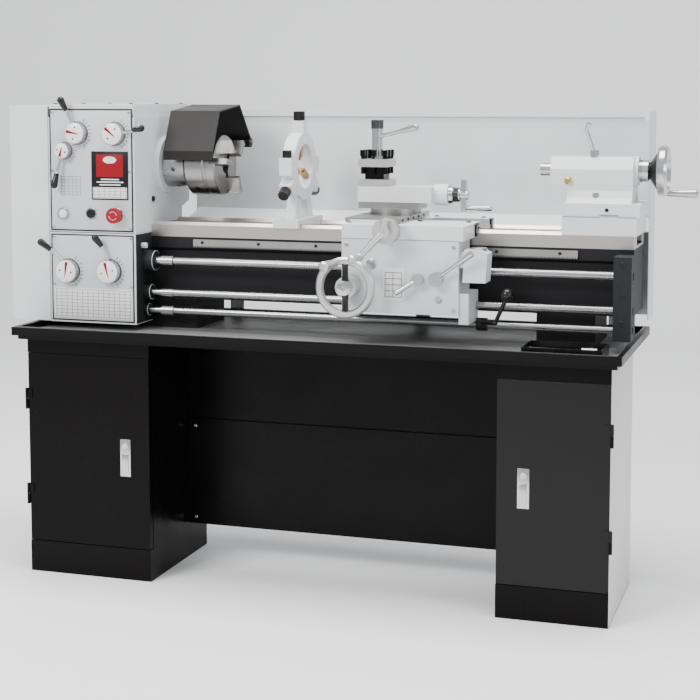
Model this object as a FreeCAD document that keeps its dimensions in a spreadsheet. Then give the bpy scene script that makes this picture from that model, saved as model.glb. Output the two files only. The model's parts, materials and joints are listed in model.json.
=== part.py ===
"""Engine lathe on a two-cabinet stand: a parametric FreeCAD document, one labelled object per sub-part.

Frame: X along the bed towards the tailstock, Y away from the operator, Z up from the floor, millimetres.
The origin is on the floor, under the middle of the whole machine.
"""
import FreeCAD
import Part
import Sketcher
import math
import os
import re

Vector = FreeCAD.Vector
Rotation = FreeCAD.Rotation

os.makedirs("parts", exist_ok=True)
doc = FreeCAD.newDocument("metal_lathe")
sheet = doc.addObject("Spreadsheet::Sheet", "Sizes")

# ---------------------------------------------------------------- driving dimensions

SIZES = dict(
    # spindle line and bed
    axis_y=60, axis_z=1060,
    bed_left=-775, bed_right=740, bed_front=-35, bed_top=905, bed_foot=632,
    bed_keel=711, slide_gap=0.4, fit_gap=0.05,
    # stand
    cabinet_front=-209, cabinet_back=139, cabinet_top=620, cabinet_wall=3, plinth_height=82,
    front_line=-227, left_cab_x=-795, left_cab_width=344, right_cab_x=449, right_cab_width=270,
    door_low=84, door_high=579, door_thick=15.5, door_sheet=2,
    hinge_y=-229, hinge_reach=4, hinge_radius=3.5, hinge_length=27, hinge_pin=1.5,
    panel_front=20, panel_low=91, panel_fold=378, panel_thick=2,
    tray_left=-819, tray_right=747, tray_front=-266, tray_back=250, tray_floor=632, tray_top=650,
    tray_under=629, rim_width=14, skirt_inset=12, skirt_thick=3,
    # headstock end
    head_left=-775, head_right=-528, head_front=-133, head_back=215, head_low=888, head_top=1222,
    head_seam=1190, head_wall=15,
    gearbox_low=650, gearbox_high=887, gearbox_back=-35,
    cover_left=-888, cover_right=-777, cover_back=262, cover_low=651, cover_high=1218, cover_wall=3,
    motor_y=215, motor_z=780, motor_radius=62, belt_x=-850, belt_width=14, spindle_sheave=62, motor_sheave=32,
    # spindle and chuck
    bearing_radius=45, spindle_bore=19, nose_radius=60, chuck_radius=80, chuck_back=-440, chuck_face=-354,
    jaw_width=15, jaw_depth=14,
    # rods
    rod_y=-75, screw_z=814, screw_radius=11, feed_z=731, feed_radius=9.5, switch_z=684, switch_radius=9,
    rod_left=-560, rod_right=736, bracket_left=702, bracket_right=745, bracket_low=662, bracket_high=863,
    rack_left=-406, rack_right=608, rack_low=848, rack_high=869, rack_thick=6,
    # carriage
    saddle_left=44, saddle_right=350, saddle_front=-165, saddle_back=168, saddle_top=930, saddle_low=895,
    apron_low=714, apron_back=-50, apron_wall=8, apron_right=339,
    wheel_x=69, wheel_z=779, wheel_y=-215, wheel_radius=75,
    cross_left=38, cross_right=181, cross_front=-120, cross_back=160, cross_low=930.5, cross_top=943,
    cross_screw_x=170, cross_screw_z=919, cross_screw_radius=5,
    swivel_x=123, swivel_y=40, swivel_radius=65, swivel_low=943.5, swivel_top=958,
    top_left=35, top_right=228, top_low=974.5, top_high=1014, top_screw_z=994, top_half=45,
    post_x=73.5, post_y=39, post_half=39, post_low=1014.5,
    # tailstock
    tail_left=526, tail_right=728, tail_base_left=563, tail_base_right=745, tail_seam=950,
    tail_half=50, quill_radius=16, quill_tip=495, tail_wheel_radius=62,
    # steady rest
    steady_left=-163, steady_thick=34, ring_outer=88, ring_inner=58, boss_reach=118, finger_side=14,
    steady_split=1070,
)

for row, (alias, value) in enumerate(SIZES.items(), start=1):
    sheet.set(f"A{row}", alias.replace("_", " "))
    sheet.set(f"B{row}", str(value))
    sheet.setAlias(f"B{row}", alias)
doc.recompute()

WORD = re.compile(r"\b([a-z]+(?:_[a-z]+)+)\b")


def bound(text):
    """The expression with each alias pointed at the sheet."""
    return WORD.sub(r"Sizes.\1", str(text))


def number(text):
    """The present value of an expression over the sheet's aliases."""
    return float(sum_of(str(text)))


def sum_of(text):
    total = 0.0
    for sign, product in re.findall(r"([+-]?)\s*([^+\-]+)", text):
        factor = 1.0
        for operator, word in re.findall(r"([*/]?)\s*([a-z_]+|[0-9.]+)", product):
            value = SIZES[word] if word in SIZES else float(word)
            factor = factor / value if operator == "/" else factor * value
        total += -factor if sign == "-" else factor
    return total


# ---------------------------------------------------------------- solids

AXES = {
    "+x": Rotation(Vector(0, 1, 0), 90),
    "-x": Rotation(Vector(0, 1, 0), -90),
    "+y": Rotation(Vector(1, 0, 0), -90),
    "-y": Rotation(Vector(1, 0, 0), 90),
    "+z": Rotation(),
    "-z": Rotation(Vector(1, 0, 0), 180),
}


def place(thing, x, y, z, turn=None):
    """Puts an object at a bound point; turn is its rotation."""
    point = Vector(number(x), number(y), number(z))
    thing.Placement = FreeCAD.Placement(point, turn or Rotation())
    for letter, text in zip("xyz", (x, y, z)):
        if WORD.search(str(text)):
            thing.setExpression(f"Placement.Base.{letter}", bound(text))
    return thing


def sized(kind, name, **properties):
    thing = doc.addObject(kind, name)
    for key, text in properties.items():
        setattr(thing, key, number(text))
        if WORD.search(str(text)):
            thing.setExpression(key, bound(text))
    return thing


def box(name, x, y, z, dx, dy, dz):
    return place(sized("Part::Box", name, Length=dx, Width=dy, Height=dz), x, y, z)


def block(name, left, right, front, back, low, high):
    """A box between named planes."""
    return box(name, left, front, low,
               difference(right, left), difference(back, front), difference(high, low))


def difference(a, b):
    flipped = re.sub(r"[+-]", lambda m: "-" if m.group() == "+" else "+", str(b).strip())
    if flipped.startswith(("+", "-")):
        return f"{a} {flipped}"
    return f"{a} - {flipped}"


def rod(name, axis, x, y, z, radius, length):
    return place(sized("Part::Cylinder", name, Radius=radius, Height=length), x, y, z, AXES[axis])


def cone(name, axis, x, y, z, radius, tip, length):
    thing = sized("Part::Cone", name, Radius1=radius, Radius2=tip, Height=length)
    return place(thing, x, y, z, AXES[axis])


def ball(name, x, y, z, radius):
    return place(sized("Part::Sphere", name, Radius=radius), x, y, z)


def bar(name, start, end, radius, tip=None):
    """A round bar, or a taper, from one point to another."""
    a = Vector(*start)
    b = Vector(*end)
    turn = Rotation(Vector(0, 0, 1), b - a)
    if tip is None:
        thing = sized("Part::Cylinder", name, Radius=radius, Height=(b - a).Length)
    else:
        thing = sized("Part::Cone", name, Radius1=radius, Radius2=tip, Height=(b - a).Length)
    return place(thing, a.x, a.y, a.z, turn)


def grip(name, start, end, thin, thick):
    """A tapered handle with a short chamfered nose beyond its end."""
    tip = Vector(*end)
    nose = tip + (tip - Vector(*start)).normalize() * 5
    return [bar(f"{name}_taper", start, end, thin, thick), bar(f"{name}_nose", end, nose, thick, thick * 0.6)]


def fuse(name, *pieces):
    thing = doc.addObject("Part::MultiFuse", name)
    thing.Shapes = list(pieces)
    thing.Refine = True
    return thing


def cut(name, base, *tools):
    thing = doc.addObject("Part::Cut", name)
    thing.Base = base
    thing.Tool = tools[0] if len(tools) == 1 else fuse(f"{name}_tool", *tools)
    return thing


def outline(body, name, plane, points):
    """A closed sketch on an origin plane; each corner is pinned to the origin by bound distances."""
    sketch = body.newObject("Sketcher::SketchObject", name)
    origin = [f for f in body.Origin.OriginFeatures if f.Role == plane][0]
    sketch.AttachmentSupport = [(origin, "")]
    sketch.MapMode = "FlatFace"
    corners = [Vector(number(u), number(v), 0) for u, v in points]
    count = len(corners)
    for i in range(count):
        sketch.addGeometry(Part.LineSegment(corners[i], corners[(i + 1) % count]), False)
    for i in range(count):
        sketch.addConstraint(Sketcher.Constraint("Coincident", i, 2, (i + 1) % count, 1))
    for i, (u, v) in enumerate(points):
        for kind, text in (("DistanceX", u), ("DistanceY", v)):
            index = sketch.addConstraint(Sketcher.Constraint(kind, -1, 1, i, 1, number(text)))
            if WORD.search(str(text)):
                sketch.setExpression(f"Constraints[{index}]", bound(text))
    return sketch


def extruded(name, plane, points, length, x, y, z):
    """A body: a profile on one plane padded along that plane's normal."""
    body = doc.addObject("PartDesign::Body", name)
    sketch = outline(body, f"{name}_profile", plane, points)
    pad = body.newObject("PartDesign::Pad", f"{name}_pad")
    pad.Profile = sketch
    pad.Length = number(length)
    if WORD.search(str(length)):
        pad.setExpression("Length", bound(length))
    sketch.Visibility = False
    return place(body, x, y, z)


def turned(name, axis, x, y, z, points):
    """A body of revolution about its own axis; points are radius and distance along the axis."""
    body = doc.addObject("PartDesign::Body", name)
    sketch = outline(body, f"{name}_profile", "XZ_Plane", points)
    spin = body.newObject("PartDesign::Revolution", f"{name}_turn")
    spin.Profile = sketch
    spin.ReferenceAxis = (sketch, ["V_Axis"])
    spin.Angle = 360
    return place(body, x, y, z, AXES[axis])


NODES = []


def node(thing, label):
    """Marks an object as a sub-part of its own; its label names its file."""
    thing.Label = label
    NODES.append(thing)
    return thing


# ---------------------------------------------------------------- stand

HINGE_LEVELS = (179, 431)


def cabinet(name, left, right, edge, outward):
    """A folded sheet cabinet with a recessed front; the fixed hinge halves are on its outer edge."""
    outer = block(f"{name}_outer", left, right, "front_line", "cabinet_back", 0, "cabinet_top")
    inner_left = f"{left} + cabinet_wall"
    inner_right = f"{right} - cabinet_wall"
    recess = block(f"{name}_recess", f"{left} - 1", f"{right} + 1", "front_line - 1", "cabinet_front",
                   "plinth_height", "door_high + 1")
    room = block(f"{name}_room", inner_left, inner_right, "cabinet_front + cabinet_wall",
                 "cabinet_back - cabinet_wall", "cabinet_wall", "cabinet_top - cabinet_wall")
    toe = block(f"{name}_toe", inner_left, inner_right, "front_line + cabinet_wall", "cabinet_front + 10",
                "cabinet_wall", "plinth_height - cabinet_wall")
    head = block(f"{name}_head", inner_left, inner_right, "front_line + cabinet_wall", "cabinet_front + 10",
                 "door_high + cabinet_wall + 1", "cabinet_top - cabinet_wall")
    doorway = block(f"{name}_doorway", f"{left} + 25", f"{right} - 25", "cabinet_front - 1",
                    "cabinet_front + 10", "plinth_height + 20", "door_high - 20")
    shell = cut(f"{name}_shell", outer, recess, room, toe, head, doorway)
    pieces = [shell]
    sign = "+" if outward > 0 else "-"
    for level in HINGE_LEVELS:
        axis_x = f"{edge} {sign} hinge_reach"
        tag = f"{name}_hinge_{level}"
        pieces.append(rod(f"{tag}_knuckle", "+z", axis_x, "hinge_y", level, "hinge_radius", "hinge_length"))
        pieces.append(rod(f"{tag}_pin", "+z", axis_x, "hinge_y", level, "hinge_pin", "hinge_length + 20"))
        near, far = (edge, f"{edge} + 2") if outward > 0 else (f"{edge} - 2", edge)
        pieces.append(block(f"{tag}_leaf", near, far, "hinge_y - 1", "cabinet_front + 14",
                            level, f"{level} + hinge_length"))
    return fuse(f"{name}_cabinet_body", *pieces)


def door(name, left, right, edge, outward):
    """A pan-shaped sheet door with the moving hinge halves on its face."""
    skin = block(f"{name}_door_skin", f"{left} + 1", f"{right} - 1", "front_line",
                 "front_line + door_thick", "door_low", "door_high")
    hollow = block(f"{name}_door_hollow", f"{left} + door_sheet + 1", f"{right} - door_sheet - 1",
                   "front_line + door_sheet", "front_line + door_thick + 1",
                   "door_low + door_sheet", "door_high - door_sheet")
    pan = cut(f"{name}_door_pan", skin, hollow)
    pieces = [pan]
    pins = []
    sign = "+" if outward > 0 else "-"
    axis_x = f"{edge} {sign} hinge_reach"
    for level in HINGE_LEVELS:
        tag = f"{name}_door_{level}"
        low = f"{level} + hinge_length + 1"
        pieces.append(rod(f"{tag}_knuckle", "+z", axis_x, "hinge_y", low, "hinge_radius", "hinge_length"))
        near, far = (f"{edge} - 12", axis_x) if outward > 0 else (axis_x, f"{edge} + 12")
        pieces.append(block(f"{tag}_leaf", near, far, "hinge_y", "front_line + 1",
                            low, f"{low} + hinge_length"))
        pins.append(rod(f"{tag}_bore", "+z", axis_x, "hinge_y", f"{low} - 1",
                        "hinge_pin + fit_gap", "hinge_length + 2"))
    return cut(f"{name}_door_body", fuse(f"{name}_door_whole", *pieces), *pins)


CABINETS = (
    ("left", "left_cab_x", "left_cab_x + left_cab_width", "left_cab_x", -1),
    ("right", "right_cab_x", "right_cab_x + right_cab_width", "right_cab_x + right_cab_width", 1),
)
for side, left, right, edge, outward in CABINETS:
    node(cabinet(side, left, right, edge, outward), f"{side}_cabinet")
    node(door(side, left, right, edge, outward), f"{side}_door")


def stand_panel():
    """The modesty panel between the cabinets: an upper and a lower sheet that overlap at a fold."""
    start = "left_cab_x + left_cab_width"
    run = difference("right_cab_x", start)
    points = [
        ("panel_front", "panel_low"), ("panel_front + 20", "panel_low"),
        ("panel_front + 20", "panel_low + panel_thick"),
        ("panel_front + panel_thick", "panel_low + panel_thick"),
        ("panel_front + panel_thick", "panel_fold"), ("panel_front + 8", "panel_fold"),
        ("panel_front + 8", "cabinet_top"), ("panel_front + 6", "cabinet_top"),
        ("panel_front + 6", "panel_fold + panel_thick"), ("panel_front", "panel_fold + panel_thick"),
    ]
    return extruded("stand_sheet", "YZ_Plane", points, run, start, 0, 0)


node(stand_panel(), "stand_panel")


def chip_tray():
    """A shallow pan with a wide rim, a set-back skirt below it and pads over the cabinets."""
    pan = block("tray_pan", "tray_left", "tray_right", "tray_front", "tray_back", "tray_under", "tray_top")
    well = block("tray_well", "tray_left + rim_width", "tray_right - rim_width", "tray_front + rim_width",
                 "tray_back - rim_width", "tray_floor", "tray_top + 1")
    skirt_outer = block("skirt_outer", "tray_left + skirt_inset", "tray_right - skirt_inset",
                        "tray_front + skirt_inset", "tray_back - skirt_inset", 618, "tray_under")
    skirt_inner = block("skirt_inner", "tray_left + skirt_inset + skirt_thick",
                        "tray_right - skirt_inset - skirt_thick", "tray_front + skirt_inset + skirt_thick",
                        "tray_back - skirt_inset - skirt_thick", 617, "tray_under + 1")
    pieces = [cut("tray_open", pan, well), cut("tray_skirt", skirt_outer, skirt_inner)]
    for side, left, right, _edge, _outward in CABINETS:
        pieces.append(block(f"tray_pad_{side}", left, right, "front_line + 10", "cabinet_back",
                            "cabinet_top", "tray_under"))
    return fuse("tray_body", *pieces)


node(chip_tray(), "chip_tray")

# ---------------------------------------------------------------- bed

FRONT_RAIL = [
    ("bed_front", 845), ("bed_front", "bed_top"), (15, "bed_top"), (15, 885), (-12, 872), (-12, 732),
    (8, 724), (8, "bed_keel"), (-32, "bed_keel"), (-32, 724), (-27, 732), (-27, 838),
]


def across(points):
    """A section mirrored about the spindle line."""
    return [(difference("axis_y * 2", y), z) for y, z in points]


def vee(y):
    return [(y - 8, "bed_top - 1"), (y - 8, "bed_top"), (y, "bed_top + 8"), (y + 8, "bed_top"),
            (y + 8, "bed_top - 1")]


def pedestal(name, left, right):
    outer = block(f"{name}_outer", left, right, "bed_front", "axis_y * 2 - bed_front", "bed_foot", "bed_keel")
    inner = block(f"{name}_inner", f"{left} + 15", f"{right} - 15", "bed_front + 15",
                  "axis_y * 2 - bed_front - 15", "bed_foot - 1", "bed_keel - 11")
    return cut(name, outer, inner)


def bed():
    run = difference("bed_right", "bed_left")
    pieces = [
        extruded("rail_front", "YZ_Plane", FRONT_RAIL, run, "bed_left", 0, 0),
        extruded("rail_back", "YZ_Plane", across(FRONT_RAIL), run, "bed_left", 0, 0),
        pedestal("pedestal_left", "bed_left", -400),
        pedestal("pedestal_right", 505, 650),
    ]
    for index, y in enumerate((-20, 140)):
        pieces.append(extruded(f"vee_{index}", "YZ_Plane", vee(y), difference("bed_right", "head_right + 1"),
                               "head_right + 1", 0, 0))
    for index in range(10):
        x = -680 + index * 150
        pieces.append(block(f"rib_{index}", x, x + 12, -14, 134, 724, 870))
    for index, x in enumerate(("bed_left", "bed_right - 15")):
        pieces.append(block(f"bed_end_{index}", x, f"{x} + 15", -27, 147, "bed_keel", 880))
    return fuse("bed_casting", *pieces)


node(bed(), "bed")


def bed_rack():
    """A strip screwed under the front rail; its teeth point down."""
    pitch = 6.2832
    low = number("rack_low")
    root = low + 4.5
    left = number("rack_left")
    points = [Vector(left, 0, number("rack_high")), Vector(left, 0, root)]
    count = int((number("rack_right") - left) / pitch)
    for index in range(count):
        x = left + index * pitch
        for step, z in ((0.9, root), (2.1, low), (3.9, low), (5.1, root)):
            points.append(Vector(x + step, 0, z))
    points.append(Vector(left + count * pitch, 0, root))
    points.append(Vector(left + count * pitch, 0, number("rack_high")))
    thing = doc.addObject("Part::Feature", "rack_strip")
    thing.Shape = Part.Face(Part.makePolygon(points + points[:1])).extrude(Vector(0, number("rack_thick"), 0))
    thing.Placement.Base = Vector(0, number("bed_front - rack_thick"), 0)
    return thing


node(bed_rack(), "bed_rack")

# ---------------------------------------------------------------- headstock

GEAR_MODULE = 2.0
SPINDLE_TEETH = 40
IDLER_TEETH = 96
INPUT_TEETH = 50
GEAR_X = -808
gear_start = Vector(GEAR_X, number("axis_y"), number("axis_z"))
gear_run = Vector(GEAR_X, number("rod_y"), number("screw_z")) - gear_start
gear_line = Vector(gear_run).normalize()
gear_angle = math.atan2(gear_line.z, gear_line.y)
idler_centre = gear_start + gear_line * (GEAR_MODULE * (SPINDLE_TEETH + IDLER_TEETH) / 2)
input_centre = idler_centre + gear_line * (GEAR_MODULE * (IDLER_TEETH + INPUT_TEETH) / 2)

# control name: (x, z, shaft radius)
PANEL_SHAFTS = {
    "speed_left": (-689, 1147, 8), "speed_right": (-582, 1146, 8), "direction": (-727, 1101, 8),
    "estop": (-578, 935, 9), "jog": (-652, 938, 11),
}
GEARBOX_SHAFTS = {"feed_left": (-720, 786, 8), "feed_right": (-600, 788, 8)}


def shaft_holes(group, shafts):
    return [rod(f"{group}_hole_{name}", "+y", x, "head_front - 1", z, f"{radius} + fit_gap", "head_wall + 15")
            for name, (x, z, radius) in shafts.items()]


COVER_HINGES = (970, 1125)


def hinge_brackets():
    """Two arms and a pin, left of the headstock's back, for each hinge barrel of the gear cover."""
    pieces = []
    for index, low in enumerate(COVER_HINGES):
        for step in (-8, 41):
            pieces.append(block(f"hinge_arm_{index}_{step + 8}", "cover_right + 0.5", "cover_right + 8",
                                "head_back - 2", "cover_back", low + step, low + step + 7))
        pieces.append(rod(f"hinge_pin_{index}", "+z", "cover_right", "cover_back", low - 8, 2, 56))
        pieces.append(block(f"hinge_leaf_{index}", "head_left", "head_left + 8", "head_back - 2", "head_back + 4",
                            low - 8, low + 48))
    return pieces


def headstock():
    """A hollow casting on the bed with a bolted top cover, a bearing cap and a boss for the guard's pivot."""
    bed_back = "axis_y * 2 - bed_front"
    section = [
        ("head_front", "head_low"), ("head_front", "head_seam"), ("head_back", "head_seam"),
        ("head_back", 955), (f"{bed_back} + 10", 940), (f"{bed_back} + 10", "bed_top"),
        ("bed_front", "bed_top"), ("bed_front", "head_low"),
    ]
    run = difference("head_right", "head_left")
    casting = extruded("head_casting", "YZ_Plane", section, run, "head_left", 0, 0)
    cover = block("head_cover", "head_left + 2", "head_right - 2", "head_front + 2", "head_back - 2",
                  "head_seam", "head_top")
    cap = rod("bearing_cap", "+x", "head_right", "axis_y", "axis_z", 77, 15)
    bracket = block("guard_boss", "head_right - 32", "head_right", "head_back", 249, 1099, 1131)
    socket = rod("guard_socket", "+x", "head_right - 20", 235, 1115, "6 + fit_gap", 30)
    stud = rod("idler_stud", "-x", "head_left", idler_centre.y, idler_centre.z, "12 - fit_gap", 38)
    whole = fuse("head_whole", casting, cover, cap, bracket, stud, *hinge_brackets())
    gear_room = block("gear_room", "head_left + head_wall", "head_right - head_wall", "head_front + head_wall",
                      "head_back - head_wall", 960, 1175)
    bearing = rod("spindle_passage", "+x", "head_left - 1", "axis_y", "axis_z",
                  "bearing_radius + fit_gap", f"{run} + 20")
    return cut("head_body", whole, gear_room, bearing, socket, *shaft_holes("panel", PANEL_SHAFTS))


node(headstock(), "headstock")


def feed_gearbox():
    """A box bolted to the front of the bed; the rods leave it through bosses in its right face."""
    body = block("feed_outer", "head_left", "head_right", "head_front", "gearbox_back",
                 "gearbox_low", "gearbox_high")
    boss_screw = rod("boss_screw", "+x", "head_right", "rod_y", "screw_z", 26, 31)
    boss_feed = rod("boss_feed", "+x", "head_right", "rod_y", "feed_z", 20, 20)
    boss_switch = rod("boss_switch", "+x", "head_right", "rod_y", "switch_z", 16, 12)
    pin = rod("gearbox_pin", "+x", "head_right", -95, 855, 7, 14)
    room = block("feed_room", "head_left + 12", "head_right - 12", "head_front + head_wall",
                 "gearbox_back - 10", "gearbox_low + 12", "gearbox_high - 12")
    tools = [room, rod("input_hole", "+x", "head_left - 1", input_centre.y, input_centre.z,
                       "10 + fit_gap", 20)]
    for name, z, radius in (("screw", "screw_z", "screw_radius"), ("feed", "feed_z", "feed_radius"),
                            ("switch", "switch_z", "switch_radius")):
        tools.append(rod(f"{name}_exit", "+x", "head_right - 14", "rod_y", z, f"{radius} + fit_gap", 50))
    whole = fuse("feed_whole", body, boss_screw, boss_feed, boss_switch, pin)
    return cut("feed_body", whole, *tools, *shaft_holes("feed", GEARBOX_SHAFTS))


node(feed_gearbox(), "feed_gearbox")


def gear_cover():
    """A deep hinged sheet cover, open towards the headstock, with a hole for bar stock."""
    outer = block("cover_outer", "cover_left", "cover_right", "head_front", "cover_back",
                  "cover_low", "cover_high")
    inner = block("cover_inner", "cover_left + cover_wall", "cover_right + 1", "head_front + cover_wall",
                  "cover_back - cover_wall", "cover_low + cover_wall", "cover_high - cover_wall")
    stock_hole = rod("cover_stock_hole", "+x", "cover_left - 1", "axis_y", "axis_z", 24, "cover_wall + 2")
    barrels = [rod(f"cover_barrel_{index}", "+z", "cover_right", "cover_back", low, 5, 40)
               for index, low in enumerate(COVER_HINGES)]
    pin_ways = [rod(f"cover_pin_way_{index}", "+z", "cover_right", "cover_back", low - 9, "2 + fit_gap", 58)
                for index, low in enumerate(COVER_HINGES)]
    sheet_metal = cut("cover_sheet", outer, inner, stock_hole)
    return cut("cover_shell", fuse("cover_whole", sheet_metal, *barrels), *pin_ways)


node(gear_cover(), "gear_cover")


def drive_motor():
    """A foot-mounted motor behind the bed, with a finned body, a fan cowl and a terminal box."""
    body = rod("motor_can", "+x", -750, "motor_y", "motor_z", "motor_radius - 5", 180)
    fins = [rod(f"motor_fin_{index}", "+x", -735 + index * 12, "motor_y", "motor_z", "motor_radius", 5)
            for index in range(11)]
    cowl = rod("motor_cowl", "+x", -600, "motor_y", "motor_z", "motor_radius", 36)
    terminal = block("motor_terminal", -700, -630, "motor_y + 40", 318, "motor_z - 30", "motor_z + 35")
    foot = block("motor_foot", -735, -600, 147, "motor_y - 40", "motor_z - 20", "motor_z + 20")
    bore = rod("motor_bore", "+x", -751, "motor_y", "motor_z", "9 + fit_gap", 60)
    return cut("motor_body", fuse("motor_whole", body, cowl, terminal, foot, *fins), bore)


node(drive_motor(), "drive_motor")


def belt_outline(extra):
    """The taut loop round both sheaves, the given distance outside them, in the plane across the spindle."""
    upper = Vector(0, number("axis_y"), number("axis_z"))
    lower = Vector(0, number("motor_y"), number("motor_z"))
    big = number("spindle_sheave") + extra
    small = number("motor_sheave") + extra
    along = lower - upper
    heading = math.atan2(along.z, along.y)
    lean = math.acos((big - small) / along.Length)

    def rim(centre, radius, angle):
        return centre + Vector(0, radius * math.cos(angle), radius * math.sin(angle))

    a = heading + lean
    b = heading - lean
    big_arc = Part.Arc(rim(upper, big, a), rim(upper, big, heading + math.pi), rim(upper, big, b))
    small_arc = Part.Arc(rim(lower, small, b), rim(lower, small, heading), rim(lower, small, a))
    edges = [
        big_arc.toShape(), Part.makeLine(rim(upper, big, b), rim(lower, small, b)),
        small_arc.toShape(), Part.makeLine(rim(lower, small, a), rim(upper, big, a)),
    ]
    return Part.Face(Part.Wire(edges))


def drive_belt():
    width = Vector(number("belt_width"), 0, 0)
    thing = doc.addObject("Part::Feature", "belt_loop")
    thing.Shape = belt_outline(6.5).extrude(width).cut(belt_outline(0.5).extrude(width))
    thing.Placement.Base = Vector(number("belt_x") + 3, 0, 0)
    return thing


node(drive_belt(), "drive_belt")


def sheave(name, x, y, z, radius, bore):
    """A flanged belt pulley, bored for its shaft."""
    points = [
        (bore, 0), (f"{radius} + 8", 0), (f"{radius} + 8", 2), (radius, 2.5), (radius, "belt_width + 3.5"),
        (f"{radius} + 8", "belt_width + 4"), (f"{radius} + 8", "belt_width + 6"), (bore, "belt_width + 6"),
    ]
    return turned(name, "+x", x, y, z, points)


node(sheave("sheave_big", "belt_x", "axis_y", "axis_z", "spindle_sheave", 26), "spindle_pulley")


def motor_pulley():
    wheel = sheave("sheave_small", "belt_x", "motor_y", "motor_z", "motor_sheave", 0.001)
    shaft = rod("motor_shaft", "+x", "belt_x + 2", "motor_y", "motor_z", 9, 150)
    return fuse("motor_pulley_body", wheel, shaft)


node(motor_pulley(), "motor_pulley")

def toothed(name, teeth, first, width, bore):
    """A spur gear blank with straight-flanked teeth; first is the angle of one tooth from +Y towards +Z."""
    pitch_radius = GEAR_MODULE * teeth / 2
    root = pitch_radius - 1.25 * GEAR_MODULE
    tip = pitch_radius + 0.85 * GEAR_MODULE
    points = []
    for index in range(teeth):
        middle = first + 2 * math.pi * index / teeth
        step = 2 * math.pi / teeth
        for share, radius in ((-0.30, root), (-0.11, tip), (0.11, tip), (0.30, root)):
            angle = middle + share * step
            points.append(Vector(0, radius * math.cos(angle), radius * math.sin(angle)))
    blank = Part.Face(Part.makePolygon(points + points[:1])).extrude(Vector(width, 0, 0))
    thing = doc.addObject("Part::Feature", name)
    thing.Shape = blank.cut(Part.makeCylinder(bore, width, Vector(0, 0, 0), Vector(1, 0, 0)))
    return thing


spindle_gear = toothed("gear_first", SPINDLE_TEETH, gear_angle, 12, 26)
spindle_gear.Placement.Base = gear_start
node(spindle_gear, "spindle_gear")


def idler_gear():
    gear = toothed("gear_idler", IDLER_TEETH, gear_angle + math.pi / IDLER_TEETH, 12, 12)
    gear.Placement.Base = idler_centre
    return gear


node(idler_gear(), "idler_gear")


def input_gear():
    gear = toothed("gear_input", INPUT_TEETH, gear_angle + math.pi, 12, 8)
    gear.Placement.Base = input_centre
    shaft = rod("input_shaft", "+x", GEAR_X - 4, input_centre.y, input_centre.z, 10, 62)
    return fuse("input_gear_body", gear, shaft)


node(input_gear(), "input_gear")

# ---------------------------------------------------------------- panel controls


def panel_lever(name, shaft, hub, path, thick):
    """A round hub on a shaft through the panel, with a cranked arm that ends in a round grip."""
    x, z, radius = shaft
    y = number("head_front") - 0.5
    pieces = [
        rod(f"{name}_shaft", "+y", x, y, z, radius, 30),
        rod(f"{name}_hub", "-y", x, y, z, hub, 20),
    ]
    points = [(px, y - 12 - 6 * step, pz) for step, (px, pz) in enumerate(path)]
    for step, point in enumerate(points[1:-1]):
        pieces.append(bar(f"{name}_arm_{step}", points[step], point, 4))
        pieces.append(ball(f"{name}_joint_{step}", *point, 5.5))
    pieces += grip(f"{name}_grip", points[-2], points[-1], 5, thick)
    return fuse(f"{name}_lever", *pieces)


LEVERS = (
    ("speed_lever_left", PANEL_SHAFTS["speed_left"], 28, ((-696, 1165), (-712, 1205), (-724, 1232)), 9),
    ("speed_lever_right", PANEL_SHAFTS["speed_right"], 29, ((-557, 1147), (-524, 1154), (-498, 1163)), 9),
    ("direction_lever", PANEL_SHAFTS["direction"], 21, ((-732, 1083), (-742, 1042), (-747, 1012)), 9),
    ("feed_lever_left", GEARBOX_SHAFTS["feed_left"], 30, ((-732, 811), (-763, 841), (-789, 861)), 9),
    ("feed_lever_right", GEARBOX_SHAFTS["feed_right"], 30, ((-600, 812), (-615, 854), (-631, 876)), 9),
)
for name, shaft, hub, path, thick in LEVERS:
    node(panel_lever(name, shaft, hub, path, thick), name)


def push_button(name, shaft, cap, stand_off, depth):
    x, z, radius = shaft
    face = number("head_front") - stand_off
    stem = rod(f"{name}_stem", "+y", x, face - 1, z, radius, stand_off + 22)
    head = rod(f"{name}_cap", "-y", x, face, z, cap, depth)
    return fuse(f"{name}_button", stem, head)


node(push_button("estop", PANEL_SHAFTS["estop"], 20, 14, 14), "estop_button")
node(push_button("jog", PANEL_SHAFTS["jog"], 11, 2, 8), "jog_button")

# ---------------------------------------------------------------- spindle and chuck


def spindle():
    """The main spindle: journal through the headstock, nose with cam sockets, bore right through."""
    bore = "spindle_bore"
    points = [
        (bore, 0), (25.95, 0), (25.95, 105), ("bearing_radius", 105), ("bearing_radius", 357.5),
        ("nose_radius", 357.5), ("nose_radius", 418), (52, 418), (52, 430), (bore, 430),
    ]
    body = turned("spindle_turned", "+x", -870, "axis_y", "axis_z", points)
    sockets = []
    for index in range(6):
        angle = math.radians(60 * index + 10)
        y = number("axis_y") + 66 * math.cos(angle)
        z = number("axis_z") + 66 * math.sin(angle)
        inner = Vector(-480, number("axis_y") + 46 * math.cos(angle), number("axis_z") + 46 * math.sin(angle))
        sockets.append(bar(f"cam_socket_{index}", inner, (-480, y, z), 6))
    return cut("spindle_body", body, *sockets)


node(spindle(), "spindle")

JAW_ANGLES = (50, 170, 290)


def about_spindle(thing, degrees):
    """Turns an object built above the spindle line about that line."""
    centre = Vector(0, number("axis_y"), number("axis_z"))
    if thing.TypeId != "Part::MultiFuse":
        holder = doc.addObject("Part::Compound", f"{thing.Name}_holder")
        holder.Links = [thing]
        thing = holder
    thing.Placement = FreeCAD.Placement(Vector(), Rotation(Vector(1, 0, 0), degrees - 90), centre)
    return thing


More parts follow.
